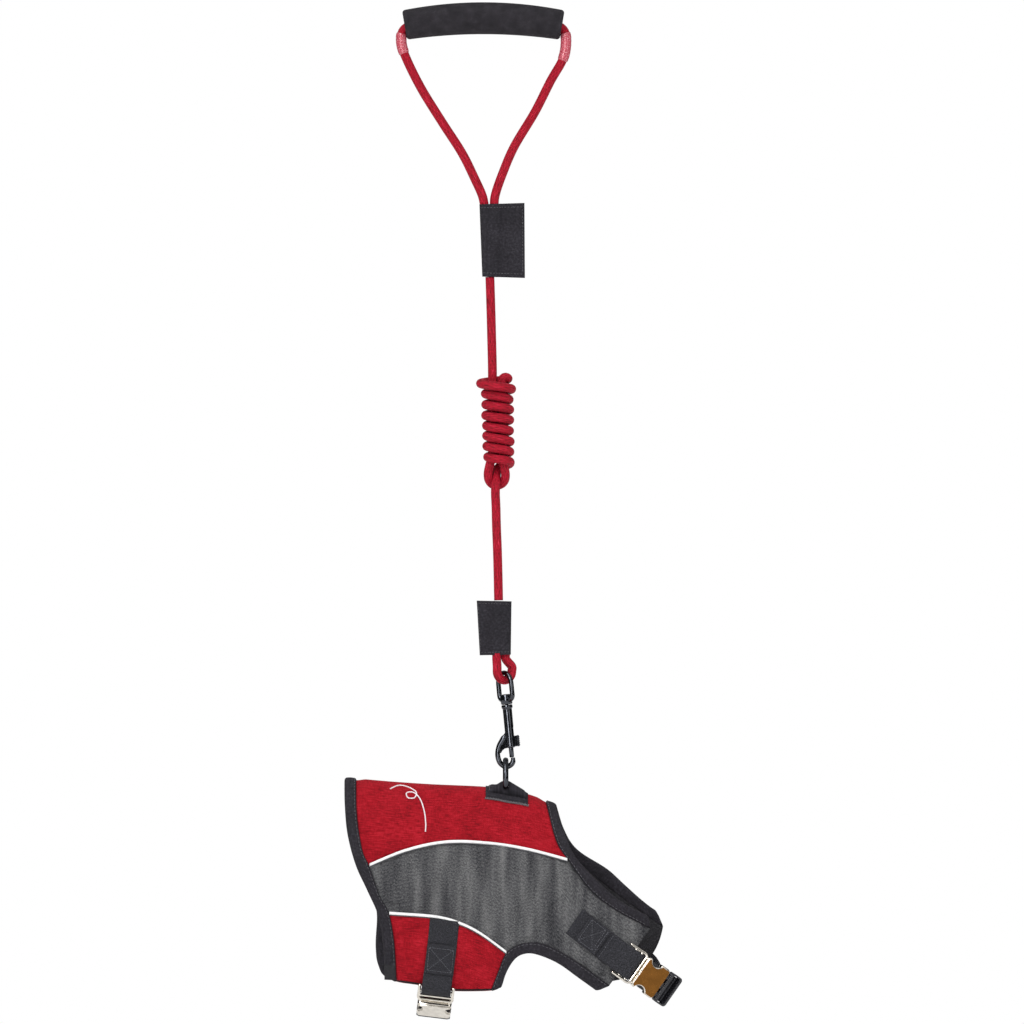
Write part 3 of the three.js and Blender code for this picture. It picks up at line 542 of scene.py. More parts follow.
class Nodes:
    """A small helper that adds and links shader nodes of one material."""

    def __init__(self, name, **settings):
        self.material = bpy.data.materials.new(name)
        self.material.use_nodes = True
        self.tree = self.material.node_tree
        self.shader = self.tree.nodes["Principled BSDF"]
        for socket, value in settings.items():
            self.shader.inputs[socket.replace("_", " ")].default_value = value

    def add(self, kind, inputs=(), **settings):
        node = self.tree.nodes.new("ShaderNode" + kind)
        for key, value in settings.items():
            setattr(node, key, value)
        for socket, value in dict(inputs).items():
            self.put(node.inputs[socket], value)
        return node

    def put(self, socket, value):
        if isinstance(value, bpy.types.NodeSocket):
            self.tree.links.new(value, socket)
        else:
            socket.default_value = value

    def math(self, operation, a, b=0.0, c=0.0):
        return self.add("Math", {0: a, 1: b, 2: c}, operation=operation).outputs[0]

    def times(self, a, b):
        return self.math("MULTIPLY", a, b)

    def times_plus(self, a, b, c):
        return self.math("MULTIPLY_ADD", a, b, c)

    def place(self):
        """The point in the object's own frame, in metres."""
        return self.add("TexCoord").outputs["Object"]

    def uv(self, across=1, along=1, turn=0.0):
        """The mesh's uv, stretched by those factors and turned."""
        source = self.add("TexCoord").outputs["UV"]
        inputs = {"Vector": source, "Scale": (across, along, 1), "Rotation": (0, 0, turn)}
        return self.add("Mapping", inputs).outputs[0]

    def noise(self, vector, scale, detail=3.0, roughness=0.5):
        inputs = {"Vector": vector, "Scale": scale, "Detail": detail, "Roughness": roughness}
        return self.add("TexNoise", inputs).outputs["Fac"]

    def ramp(self, value, *stops):
        """A colour ramp through (position, display colour) stops."""
        node = self.add("ValToRGB", {"Fac": value})
        elements = node.color_ramp.elements
        while len(elements) < len(stops):
            elements.new(0.5)
        for element, (position, color) in zip(elements, stops):
            element.position = position
            element.color = linear(color)
        return node.outputs["Color"]

    def finish(self, color, height, distance, roughness=None):
        """Links what is given to the shader; height becomes a bump of that distance in metres."""
        self.put(self.shader.inputs["Base Color"], color)
        if roughness is not None:
            self.put(self.shader.inputs["Roughness"], roughness)
        bump = self.add("Bump", {"Height": height, "Distance": distance})
        self.tree.links.new(bump.outputs[0], self.shader.inputs["Normal"])
        return self.material


# ---------------------------------------------------------------- materials


def linear(color):
    """A display colour, 0 to 255, as the linear RGBA values that shaders use."""
    return (*(((v / 255 + 0.055) / 1.055) ** 2.4 if v > 10 else v / 3294 for v in color), 1)


def woven(nodes, pitch):
    """Height of a plain weave with that thread pitch, in the units of the uv."""
    axes = nodes.add("SeparateXYZ", {0: nodes.uv()}).outputs
    waves = [nodes.math("SINE", nodes.times(axis, pi / pitch)) for axis in axes[:2]]
    return nodes.times_plus(waves[0], nodes.times(waves[1], 0.5), 0.5)


def foam_material():
    nodes = Nodes("foam", Roughness=0.92, Specular_IOR_Level=0.2)
    grain = nodes.noise(nodes.place(), 2600, 2)
    blotch = nodes.noise(nodes.place(), 120, 4)
    mixed = nodes.times_plus(grain, 0.55, nodes.times(blotch, 0.45))
    color = nodes.ramp(mixed, (0.3, (26, 24, 28)), (0.5, (38, 36, 40)), (0.72, (58, 55, 60)))
    return nodes.finish(color, grain, 0.00025)


def rope_material():
    """A braid: two families of yarns crossing on the diagonal, with fine lengthwise filaments."""
    nodes = Nodes("rope", Roughness=0.7, Sheen_Weight=0.05, Sheen_Roughness=0.4, Specular_IOR_Level=0.2)
    nodes.put(nodes.shader.inputs["Sheen Tint"], linear((255, 150, 170)))
    split = nodes.add("SeparateXYZ", {0: nodes.uv()}).outputs
    around = nodes.times(split[0], 8 * pi)
    along = nodes.times(split[1], pi / 6.5)
    families = [
        nodes.math("ABSOLUTE", nodes.math("SINE", nodes.math(sign, around, along)))
        for sign in ("ADD", "SUBTRACT")
    ]
    yarn = nodes.math("MAXIMUM", *families)
    filaments = nodes.noise(nodes.uv(30, 0.12), 1.0, 3)
    height = nodes.times_plus(filaments, 0.9, nodes.times(yarn, 0.5))
    color = nodes.ramp(
        nodes.times_plus(filaments, 0.85, nodes.times(yarn, 0.16)),
        (0.36, (104, 2, 18)), (0.54, (150, 5, 30)), (0.68, (172, 14, 42)), (0.84, (204, 64, 90)),
    )
    return nodes.finish(color, height, 0.0005)


def whipping_material():
    nodes = Nodes("whipping", Roughness=0.35, Coat_Weight=0.3)
    speckle = nodes.noise(nodes.uv(26, 1.1), 1.0, 4)
    color = nodes.ramp(speckle, (0.35, (150, 26, 46)), (0.52, (186, 66, 84)), (0.68, (225, 165, 172)))
    return nodes.finish(color, speckle, 0.00015)


def cloth_material(name, colors, pitch=0.9, streak=(0.12, 1.1), relief=0.00018, **settings):
    """Plain-weave cloth whose yarns swell and thin along the first uv direction."""
    nodes = Nodes(name, Roughness=0.88, **settings)
    weave = woven(nodes, pitch)
    slub = nodes.noise(nodes.uv(*streak), 1.0, 4, 0.6)
    cross = nodes.noise(nodes.uv(streak[1] * 0.8, streak[0] * 2.2), 1.0, 3, 0.6)
    cloud = nodes.noise(nodes.uv(), 0.045, 2)
    tone = nodes.times_plus(slub, 0.5, nodes.times(cross, 0.26))
    tone = nodes.math("ADD", tone, nodes.times_plus(cloud, 0.2, nodes.times(weave, 0.05)))
    color = nodes.ramp(tone, *zip((0.36, 0.5, 0.64), colors))
    return nodes.finish(color, nodes.math("ADD", weave, slub), relief)


def heather_material():
    """Grey melange: columns of short dark dashes under soft diagonal stripes of painted shade that follow
    the folds.
    """
    nodes = Nodes("grey_heather", Roughness=0.88, Specular_IOR_Level=0.25)
    dash_pitch = 3.1
    rows = nodes.times(nodes.add("SeparateXYZ", {0: nodes.uv()}).outputs[1], 2 * pi / dash_pitch)
    breaks = nodes.noise(nodes.uv(0.42, 0.12), 1.0, 3, 0.7)
    dashes = nodes.math("SINE", nodes.times_plus(breaks, 22, rows))
    columns = nodes.noise(nodes.uv(0.13, 0.02), 1.0, 2)
    fleck = nodes.noise(nodes.uv(0.7, 1.2), 1.0, 3, 0.7)
    # painted shade: soft dark diagonal stripes laid the way the vest's folds run
    fold_shade_bands = nodes.noise(nodes.uv(0.085, 0.012, -0.5), 1.0, 2, 0.5)
    tone = nodes.times_plus(nodes.times(dashes, columns), 0.07, nodes.times(fold_shade_bands, 0.42))
    tone = nodes.math("ADD", tone, nodes.times(fleck, 0.5))
    color = nodes.ramp(tone, (0.34, (34, 34, 38)), (0.46, (74, 74, 76)), (0.6, (112, 112, 112)))
    return nodes.finish(color, nodes.math("ADD", woven(nodes, 0.8), fleck), 0.0002)


def webbing_material():
    """Ribbed webbing: close ribs run across the band and a twill line crosses them."""
    nodes = Nodes("webbing", Roughness=0.72, Specular_IOR_Level=0.3)
    ribs = woven(nodes, 0.75)
    wave = nodes.add("TexWave", {"Vector": nodes.uv(turn=0.8), "Scale": 0.42, "Distortion": 0.6})
    twill = wave.outputs["Fac"]
    yarn = nodes.noise(nodes.uv(1.1, 0.8), 1.0, 3, 0.7)
    tone = nodes.times_plus(ribs, 0.16, nodes.times_plus(twill, 0.12, nodes.times(yarn, 0.7)))
    color = nodes.ramp(tone, (0.36, (13, 13, 16)), (0.5, (31, 31, 36)), (0.66, (76, 76, 84)))
    return nodes.finish(color, nodes.math("ADD", ribs, nodes.times(twill, 0.6)), 0.00035)


def metal_material(name, color, dark, roughness):
    """Polished or plated metal with faint smears and hairline scratches."""
    nodes = Nodes(name, Metallic=1.0)
    smear = nodes.noise(nodes.place(), 220, 4)
    hair = nodes.noise(nodes.place(), 880, 2)
    tint = nodes.ramp(smear, (0.35, dark), (0.65, color))
    rough = nodes.times_plus(nodes.times(smear, hair), roughness * 1.6, roughness * 0.6)
    return nodes.finish(tint, hair, 0.000003, rough)


def plastic_material():
    nodes = Nodes("moulded_plastic", Specular_IOR_Level=0.45)
    grain = nodes.noise(nodes.place(), 1800, 2)
    color = nodes.ramp(grain, (0.3, (22, 22, 26)), (0.7, (40, 40, 46)))
    return nodes.finish(color, grain, 0.00006, nodes.times_plus(grain, 0.2, 0.3))


def thread_material(name, dark, light, sheen=0.3):
    """Twisted sewing thread."""
    nodes = Nodes(name, Roughness=0.6, Sheen_Weight=sheen)
    twist = nodes.noise(nodes.place(), 1500, 2)
    return nodes.finish(nodes.ramp(twist, (0.35, dark), (0.65, light)), twist, 0.0001)


FOAM = foam_material()
ROPE_LOOK = rope_material()
WHIPPING_LOOK = whipping_material()
RED = cloth_material("red_slub", ((92, 0, 12), (146, 5, 22), (180, 28, 44)), Specular_IOR_Level=0.2)
GREY = heather_material()
CHARCOAL = cloth_material(
    "charcoal_binding", ((24, 23, 27), (37, 35, 40), (54, 52, 58)), 0.7, (0.5, 0.5), Specular_IOR_Level=0.2,
)
LINING = cloth_material("lining", ((14, 13, 16), (22, 21, 25), (34, 32, 37)), 1.3, (0.3, 0.3), 0.0003)
PIPING = cloth_material("piping", ((214, 212, 212), (240, 240, 240), (252, 252, 252)), 0.6, (0.3, 0.5))
# a darkened copy of the charcoal binding cloth: painted shade on the binding's folded end
BINDING_PAINTED_SHADE = cloth_material("charcoal_painted_shade", ((16, 15, 18), (26, 25, 29), (38, 36, 41)), 0.7, (0.5, 0.5))
WEBBING = webbing_material()
GUNMETAL = metal_material("gunmetal", (80, 82, 87), (62, 64, 69), 0.13)
STEEL = metal_material("spring_steel", (190, 190, 190), (140, 140, 140), 0.3)
CHROME = metal_material("chrome", (226, 220, 210), (206, 200, 190), 0.12)
# the chest plate is chrome; its bronze-brown base colour is a painted reflection of its surroundings
CHROME_PAINTED_REFLECTION = metal_material("chrome_painted_bronze_reflection", (126, 84, 38), (114, 76, 34), 0.22)
PLASTIC = plastic_material()
# dark sewing thread, also used for the painted shadow line under the piping
DARK_THREAD_AND_SHADOW = thread_material("dark_thread_and_painted_shadow", (30, 29, 33), (66, 64, 72))
PALE_THREAD = thread_material("pale_thread", (58, 54, 58), (104, 98, 102))
STRAP_THREAD = thread_material("strap_thread", (44, 44, 50), (78, 78, 88))
SILVER_THREAD = thread_material("silver_thread", (205, 190, 196), (245, 238, 240), 0.5)

# ---------------------------------------------------------------- camera


def make_camera():
    data = bpy.data.cameras.new("camera")
    data.sensor_width = 36
    data.lens = 36 * VIEW["away"] / VIEW["width"]
    data.clip_end = 100
    camera = bpy.data.objects.new("camera", data)
    camera.location = Vector((VIEW["x"], -VIEW["away"], VIEW["z"])) * MM
    camera.rotation_euler = (pi / 2, 0, 0)
    bpy.context.scene.collection.objects.link(camera)
    bpy.context.scene.camera = camera


make_camera()

# ---------------------------------------------------------------- cords

HANDLE_ROUTE = (
    (1.2, -161), (-0.8, -151), (-7, -137), (-18.1, -114.6), (-35.1, -88.2), (-53.4, -58.5), (-66.8, -31),
    (-69.8, -18), (-67.5, -9.5), (-58, -5.2), (-35, -1.6), (0, 0), (35, -1.6), (58, -5.2), (67.5, -9),
    (70.3, -17.5), (68, -34), (57.2, -53.4), (43.9, -79.7), (26.1, -109.5), (15.6, -134.1), (10, -151),
    (9.3, -161),
)
LEASH_DOWN = (
    (5.6, 0, -219.9), (6.1, 0, -235), (6.7, 0, -255), (7.2, 0, -275), (7.7, 0, -295), (7.8, 0, -308),
    (8, 0, -330), (8.2, -0.5, -352), (7.8, -1.2, -370), (5.4, -2.4, -380), (3.9, -1, -388),
    (5.6, 2.6, -394.5), (11.4, 5.2, -397.4), (17.4, 2.6, -394.5), (19, -1, -388), (17.4, -2.4, -380),
    (15.6, -1.2, -370), (15.8, -0.5, -352), (15.9, 0, -330), (15.6, -0.6, -312), (15.8, -1.2, -306.6),
    (18.2, -1.4, -304.2), (21.6, 0, -306.2),
)
LEASH_OUT = (
    (22.4, 5.4, -379.2), (17.4, 8.4, -380), (12.4, 7.6, -381.6), (11.2, 4.8, -385.4), (11, 0.8, -391),
    (10.4, -2.9, -398), (10.3, -2.2, -405), (10.8, 0, -415), (11.2, 0, -432), (12, 0, -452),
    (12.6, 0, -475), (13, 0, -494.8),
)


def coil_points():
    """The coil's turns, from just past the right side, going behind first; the first turn is wider."""
    points = []
    total = COIL["turns"] * COIL["per_turn"]
    for step in range(2, total + 1):
        turn = step / COIL["per_turn"]
        down = turn / COIL["turns"]
        wider = 3.4 * float(smooth(turn, 0.1, 0.5)) * (1 - float(smooth(turn, 0.6, 1.4)))
        radius = mix(*COIL["radius"], down) + wider + 0.25 * sin(2.3 * turn)
        angle = 2 * pi * turn
        x = mix(*COIL["x"], down) + radius * cos(angle)
        z = COIL["front"] - COIL["pitch"] * (turn - 0.75)
        points.append((x, radius * sin(angle), z + 0.3 * sin(5 * turn)))
    return points


def length_of(line):
    return float(np.linalg.norm(np.diff(line, axis=0), axis=1).sum())


def relaxed(line, passes=16):
    """The line with its tight kinks eased, as a rope eases them; its ends stay in place."""
    for _ in range(passes):
        line = np.concatenate([line[:1], (line[:-2] + 2 * line[1:-1] + line[2:]) / 4, line[-1:]])
    return line


def rope(name, points, spacing, nodes):
    """A rope along a smooth line, which goes back into the object at its far end."""
    rough = relaxed(spline(*points, count=1200))
    line = resample(rough, int(length_of(rough) / spacing) + 2)
    piece = tube(name, line, ROPE, ROPE_LOOK, 24)
    finish_piece(piece, "leash", "rope", *nodes)
    return line


def eye_route():
    """The rope eye: a turned U, whose ends come together in the sleeve's mouth."""
    turn = radians(EYE["turn"])
    straight = EYE["bend_z"] + 4
    sides = [(-EYE["spread"], straight)]
    for angle in np.linspace(pi, 2 * pi, 13):
        sides.append((EYE["spread"] * cos(angle), EYE["bend_z"] + EYE["spread"] * sin(angle)))
    sides.append((EYE["spread"], straight))
    route = [(EYE["x"] + reach * cos(turn), reach * sin(turn), z) for reach, z in sides]
    left, right = ((EYE["mouth_x"] + side * EYE["mouth"], side * EYE["skew"]) for side in (-1, 1))
    above = (-539.5, -544.8)
    return [(*left, z) for z in above] + route + [(*right, z) for z in reversed(above)]


HANDLE = rope("handle_cord", [(x, 0, z) for x, z in HANDLE_ROUTE], 1.6, ["handle_rope"])
rope(
    "leash_cord", [*LEASH_DOWN, *coil_points(), *LEASH_OUT], 1.3,
    ["leash_rope_upper", "wrapped_knot", "leash_rope_lower"],
)
rope("eye_cord", eye_route(), 1.2, ["rope_eye"])

# ---------------------------------------------------------------- grip, whippings and sleeves


def grip():
    """The foam tube: bowed, slightly thicker in the middle, with soft rounded ends."""
    half, edge = GRIP["length"] / 2, GRIP["edge"]
    line, radii = [], []
    for share in -np.cos(np.linspace(0, pi, 60)):
        inward = half * (1 - abs(share))
        radius = mix(GRIP["radius"], GRIP["end_radius"], share * share)
        if inward < edge:
            radius -= edge * (1 - sqrt(max(0, 1 - (1 - inward / edge) ** 2)))
        line.append((share * half, 0, -GRIP["rise"] * share * share))
        radii.append(radius)
    piece = tube("grip_foam", line, radii, FOAM, 56)
    finish_piece(piece, "leash", "foam", "foam_grip")


def whipping(name, low, high):
    """A tight thin sleeve on the handle rope, from one height to another on its CAD node's side."""
    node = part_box(name)
    center = (node[0][0] + node[1][0]) / 2
    on_side = HANDLE[(HANDLE[:, 0] * center > 0) & (HANDLE[:, 2] > low) & (HANDLE[:, 2] < high)]
    line = resample(on_side, 26)
    ends = np.abs(np.linspace(-1, 1, len(line)))
    radii = ROPE + WHIPPING["wall"] - WHIPPING["end"] * smooth(ends, 0.85, 1)
    radii = radii + 0.08 * np.sin(np.arange(len(line)) * 1.9)
    finish_piece(tube(name + "_sleeve", line, radii, WHIPPING_LOOK, 28), "leash", "whipping", name)


def sleeve(name, spec, flap_right):
    """A cloth wrap: it swells over the ropes and lies flat and doubled where it is sewn together."""
    levels, around = 40, 72
    layers, uv = [], []
    for down in np.linspace(0, 1, levels):
        left = spec["left"] + spec["slant"][0] * down
        right = spec["right"] + spec["slant"][1] * down
        centers = [mix(a, b, down) for a, b in spec["ropes"]]
        ring, marks = [], []
        for k in range(around):
            share = k / around * 2
            side = -1 if share < 1 else 1
            t = share if share < 1 else 2 - share
            x = mix(left, right, (1 - cos(pi * t)) / 2)
            swell = max(sqrt(max(0, 1 - ((x - c) / SLEEVE["swell"]) ** 2)) for c in centers)
            end = min(1.0, sqrt(max(0.0, min(x - left, right - x) / SLEEVE["edge"])))
            crease = 0.35 * sin(x * 0.55 + down * 7) * sin(down * 13 + side)
            flat = SLEEVE["flat"] + crease * 0.5
            depth = (flat + (SLEEVE["deep"] - flat + crease) * swell ** 1.4) * end
            droop = spec["droop"] * (x - left) / (right - left)
            z = mix(spec["top"], spec["bottom"], down) + droop * (2 * down - 1)
            ring.append((x, side * depth, z))
            marks.append((x * side, z))
        layers.append(ring)
        uv.append(marks)
    finish_piece(rings(name + "_cloth", layers, CHARCOAL, uv), "leash", "charcoal", name)
    grid = np.array(layers)
    seam = around // 2 - SLEEVE["hem"] if flap_right else SLEEVE["hem"] - 1
    across = slice(4, around // 2 - 4)
    lines = [grid[3:-3, seam], grid[3:-3, around - seam], grid[2, across], grid[-3, across]]
    for index, line in enumerate(lines):
        outward = np.array((0, 1 if index == 1 else -1, 0))
        line = line + SLEEVE["lift"] * outward
        stitch = stitch_run(f"{name}_stitch_{index}", line, outward, DARK_THREAD_AND_SHADOW, 2.6, 1.8, 0.45)
        finish_piece(stitch, "leash", "charcoal")


grip()
whipping("whipping_left", *WHIPPING["left"])
whipping("whipping_right", *WHIPPING["right"])
sleeve("upper_sleeve", UPPER_SLEEVE, True)
sleeve("lower_sleeve", LOWER_SLEEVE, False)

# ---------------------------------------------------------------- vest cloth

BINDING_PROFILE = (
    (1, -0.2), (0.97, 0.5), (0.88, 0.95), (0.7, 1.15), (0.5, 1.2), (0.3, 1.05), (0.14, 0.6), (0.04, -0.4),
    (0, -1.9), (0.04, -3.2), (0.14, -4.1), (0.3, -4.6), (0.6, -4.7), (0.9, -4.6), (1, -3.6), (1, -1.8),
)


def ripple(*values):
    """A smooth, repeatable unevenness between about -1 and 1."""
    total = 0
    for index, value in enumerate(values):
        total = total + np.sin(value + 1.3 * index) + 0.5 * np.sin(2.17 * value + 0.7 + index)
    return total / (1.5 * len(values))


def folds(x, z):
    """Soft diagonal folds that rise to the head, deepest in the middle of the vest."""
    across = FOLD["slant"][0] * x - FOLD["slant"][1] * z
    depth = FOLD["depth"] * np.exp(-((x - FOLD["center"]) / FOLD["reach"]) ** 2)
    return depth * np.sin(2 * pi * across / FOLD["pitch"] + np.sin(z * 0.06))


def free_cloth(x, z):
    """0 along the ridge and where something is sewn down flat on a panel, 1 away from them."""
    free = smooth(ridge_height(x) - z, 3, 16)
    for start, end, radius in HELD_FLAT:
        run = np.subtract(end, start)
        share = np.clip(((x - start[0]) * run[0] + (z - start[1]) * run[1]) / (run @ run), 0, 1)
        away = np.hypot(x - start[0] - share * run[0], z - start[1] - share * run[1])
        free = np.minimum(free, smooth(away, radius, radius + 8))
    return free


def panel_places(shape, side, cells):
    """(x, z, side) over a panel; side None goes over the ridge, from the near edge to the far one."""
    u, v = np.meshgrid(np.linspace(0, 1, cells[0] + 1), np.linspace(0, 1, cells[1] + 1), indexing="ij")
    place = shape(u, v if side else 1 - np.abs(2 * v - 1) ** 2)
    return place[..., 0], place[..., 1], np.full(u.shape, side) if side else np.where(v < 0.5, NEAR, FAR)


def arc_uv(points):
    """Millimetres along a grid of points: x along its first direction, and the arc along its second."""
    steps = np.linalg.norm(np.diff(points, axis=1), axis=2)
    arc = np.concatenate([np.zeros((len(points), 1)), np.cumsum(steps, axis=1)], axis=1)
    return np.stack([points[..., 0], arc - arc[:, -1:] / 2], axis=-1)


def billow(points, cap, frames=14, growth=0.035, pressure=0.6):
    """Runs the cloth, held all round its border, until it wrinkles; no point moves further than the cap."""
    rows, columns = points.shape[:2]
    sheet = make_mesh("billow", points.reshape(-1, 3), grid_faces(rows, columns), RED)
    index = np.arange(rows * columns).reshape(rows, columns)
    border = np.concatenate([index[0], index[-1], index[:, 0], index[:, -1]])
    sheet.vertex_groups.new(name="pin").add([int(i) for i in np.unique(border)], 1.0, "REPLACE")
    cloth = sheet.modifiers.new("cloth", "CLOTH")
    settings = cloth.settings
    settings.quality = 6
    settings.mass = 0.15
    settings.tension_stiffness = settings.compression_stiffness = 25
    settings.shear_stiffness = 12
    settings.bending_stiffness = 1.2
    settings.shrink_min = -growth
    settings.vertex_group_mass = "pin"
    settings.use_pressure = True
    settings.uniform_pressure_force = pressure
    settings.effector_weights.gravity = 0
    scene = bpy.context.scene
    for number in range(1, frames + 1):
        scene.frame_set(number)
    result = sheet.evaluated_get(bpy.context.evaluated_depsgraph_get()).to_mesh()
    moved = np.empty(rows * columns * 3)
    result.vertices.foreach_get("co", moved)
    moved = moved.reshape(rows, columns, 3) / MM - points
    bpy.data.objects.remove(sheet)
    scene.frame_set(1)
    size = np.linalg.norm(moved, axis=-1, keepdims=True)
    return points + moved * np.minimum(1, cap / np.maximum(size, 1e-6))


def slab(name, outer, inner, material, uv):
    """A closed sheet between two grids of points."""
    rows, columns = outer.shape[:2]
    count = rows * columns
    faces = grid_faces(rows, columns) + grid_faces(rows, columns, start=count)
    edge = [(r, 0) for r in range(rows)] + [(rows - 1, c) for c in range(1, columns)]
    edge += [(r, columns - 1) for r in range(rows - 2, -1, -1)] + [(0, c) for c in range(columns - 2, 0, -1)]
    border = [r * columns + c for r, c in edge]
    for a, b in zip(border, border[1:] + border[:1]):
        faces.append((a, b, b + count, a + count))
    points = np.concatenate([outer.reshape(-1, 3), inner.reshape(-1, 3)])
    return make_mesh(name, points, faces, material, np.concatenate([uv.reshape(-1, 2)] * 2))


def edge_distance(points):
    """How far each point of a grid is from the nearest border, roughly, in millimetres."""
    along = np.linalg.norm(np.diff(points, axis=0), axis=2)
    across = np.linalg.norm(np.diff(points, axis=1), axis=2)
    down = np.concatenate([np.zeros((1, points.shape[1])), np.cumsum(along, axis=0)])
    over = np.concatenate([np.zeros((len(points), 1)), np.cumsum(across, axis=1)], axis=1)
    return np.minimum(np.minimum(down, down[-1:] - down), np.minimum(over, over[:, -1:] - over))


def cloth_panel(name, shape, side, cells, material, slot, nodes, cap):
    """A padded panel with its lining: it swells between its seams and wrinkles a little."""
    x, z, sides = panel_places(shape, side, cells)
    flat = skin(x, z, sides, 0)
    away = edge_distance(flat)
    puff = PANEL["swell"] * smooth(away, 0, PANEL["seam"]) - PANEL["sunk"]
    drawn = 0.28 * ripple(x * 0.16 + z * 0.05, z * 0.11) * smooth(away, 2, 14)
    if shape is SIDE_SHAPE:
        drawn = drawn + folds(x, z) * smooth(away, 2, 12)
    free = free_cloth(x, z)
    still = skin(x, z, sides, puff + drawn * free)
    outer = mix(still, billow(still, cap), free[..., None])
    uv = arc_uv(flat)
    piece = slab(name + "_cloth", outer, skin(x, z, sides, PANEL["inner"]), material, uv)
    finish_piece(piece, "vest", slot, nodes[0])
    top, bottom = PANEL["lining"]
    inside = bottom - 0.9 * smooth(away, 0, PANEL["seam"]) + 0.3 * ripple(x * 0.2, z * 0.23)
    lining = slab(name + "_lining_cloth", skin(x, z, sides, inside), skin(x, z, sides, top), LINING, uv)
    finish_piece(lining, "vest", "lining", nodes[1])


def edge_run(side, shares):
    """Where a bound edge runs, as shares of its lines and sides; side None runs over the ridge."""
    if side:
        return shares, np.full(len(shares), side)
    return np.abs(2 * shares - 1) ** BAND["ease"], np.where(shares < 0.5, NEAR, FAR)


def band(name, first, second, side, count, node):
    """A bound edge between two lines of the side view."""
    share, sides = edge_run(side, np.linspace(0, 1, count))
    outer, inner = on(first, share), on(second, share)
    from_end = length_of(first) * (np.minimum(share, 1 - share) if side else 1 - share)
    radius = np.where(sides == NEAR, *BAND["rounding"])
    held = np.sqrt(np.clip(1 - (1 - np.clip(from_end / radius, 0, 1)) ** 2, 0.02, 1))
    layers = []
    for a, lift in BINDING_PROFILE:
        place = mix(inner, mix(outer, inner, a), held[:, None])
        uneven = BAND["wobble"] * ripple(place[:, 0] * 0.35 + 2 * sides, place[:, 1] * 0.4 + a)
        layers.append(skin(place[:, 0], place[:, 1], sides, lift + uneven))
    layers = np.stack(layers, axis=1)
    around = np.linspace(0, 26, len(BINDING_PROFILE))
    uv = np.stack(np.broadcast_arrays(travelled(layers[:, 0])[:, None], around[None, :]), axis=-1)
    finish_piece(rings(name, layers, CHARCOAL, uv), "vest", "charcoal", node)


def seam_stitches(name, first, second, side):
    """A row of stitches along a bound edge, close to its second line."""
    share, sides = edge_run(side, np.linspace(0.01, 0.99, 300))
    place = mix(on(first, share), on(second, share), HEM_STITCH["at"])
    line = skin(place[:, 0], place[:, 1], sides, HEM_STITCH["lift"])
    outward = skin(place[:, 0], place[:, 1], sides, HEM_STITCH["lift"] + 1) - line
    piece = stitch_run(name, line, outward, DARK_THREAD_AND_SHADOW, HEM_STITCH["pitch"], HEM_STITCH["length"])
    finish_piece(piece, "vest", "charcoal")


def piping(name, seam, side):
    """A white cord laid in the seam, and below it a dark line of painted shadow where its edge is sewn down.
    """
    place = on(seam, np.linspace(0.004, 0.996, 120))
    x, z, radius = place[:, 0], place[:, 1], PIPE["radius"]
    angles = circle(12)
    layers = [skin(x, z + radius * cos(a), side, PIPE["lift"] + radius * sin(a)) for a in angles]
    uv = np.stack(np.broadcast_arrays(place[:, :1], angles[None, :]), axis=-1)
    finish_piece(rings(name + "_cord", np.stack(layers, axis=1), PIPING, uv), "vest", "piping", name)
    # painted shadow: a thin dark tube in the thread's colour, sunk just under the cord
    shadow = skin(x, z - PIPE["seam"], side, -0.25)
    finish_piece(tube(name + "_painted_shadow", shadow, 0.45, DARK_THREAD_AND_SHADOW, 6), "vest", "charcoal")


def vest_cloth():
    cloth_panel("back", BACK_SHAPE, None, (110, 72), RED, "red", ("back_panel", "back_lining"), 2.2)
    for side, word in SIDES:
        for name, shape, cells, material, slot, cap in (
            ("side", SIDE_SHAPE, (130, 48), GREY, "grey", 2.2),
            ("belly", BELLY_SHAPE, (60, 40), RED, "red", 1.6),
        ):
            nodes = [f"{name}_{layer}_{word}" for layer in ("panel", "lining")]
            cloth_panel(f"{name}_{word}", shape, side, cells, material, slot, nodes, cap)
        piping("upper_piping_" + word, UPPER_SEAM, side)
        piping("lower_piping_" + word, LOWER_SEAM, side)
        band("leg_edge_" + word, LEG_OUTER, LEG_INNER, side, 110, "leg_binding_" + word)
        seam_stitches("leg_stitch_" + word, LEG_OUTER, LEG_INNER, side)
    for name, outer, inner in (("rear", REAR_OUTER, REAR_INNER), ("neck", NECK_OUTER, NECK_INNER)):
        band(name + "_edge", outer, inner, None, 260, name + "_binding")
        seam_stitches(name + "_stitch", outer, inner, None)


vest_cloth()

# ---------------------------------------------------------------- back fitting


def ring_patch():
    u, s = np.meshgrid(np.linspace(0, 1, 37), np.linspace(-1, 1, 41), indexing="ij")
    x = mix(PATCH["rear"], PATCH["front"], u)
    z = ridge_height(x) - PATCH["drop"] * s ** 2
    side = np.where(s < 0, NEAR, FAR)
    outer = skin(x, z, side, 1.7 + 0.15 * ripple(x * 0.5, z * 0.6))
    piece = slab("ring_patch_cloth", outer, skin(x, z, side, -0.3), CHARCOAL, arc_uv(outer))
    finish_piece(piece, "vest", "charcoal", "ring_base_patch")


def zigzag():
    """A pale zigzag that oversews the patch's border on both sides."""
    steps = np.arange(PATCH["stitches"])
    x = mix(PATCH["rear"] - 0.6, PATCH["front"] + 0.6, steps / steps[-1])
    z = ridge_height(x) - PATCH["drop"] - 0.5 + 1.7 * (steps % 2)
    for side, word in SIDES:
        thread = resample(skin(x, z, side, 1.9), 6 * PATCH["stitches"])
        finish_piece(tube("patch_zigzag_" + word, thread, 0.28, PALE_THREAD, 6), "vest", "charcoal")


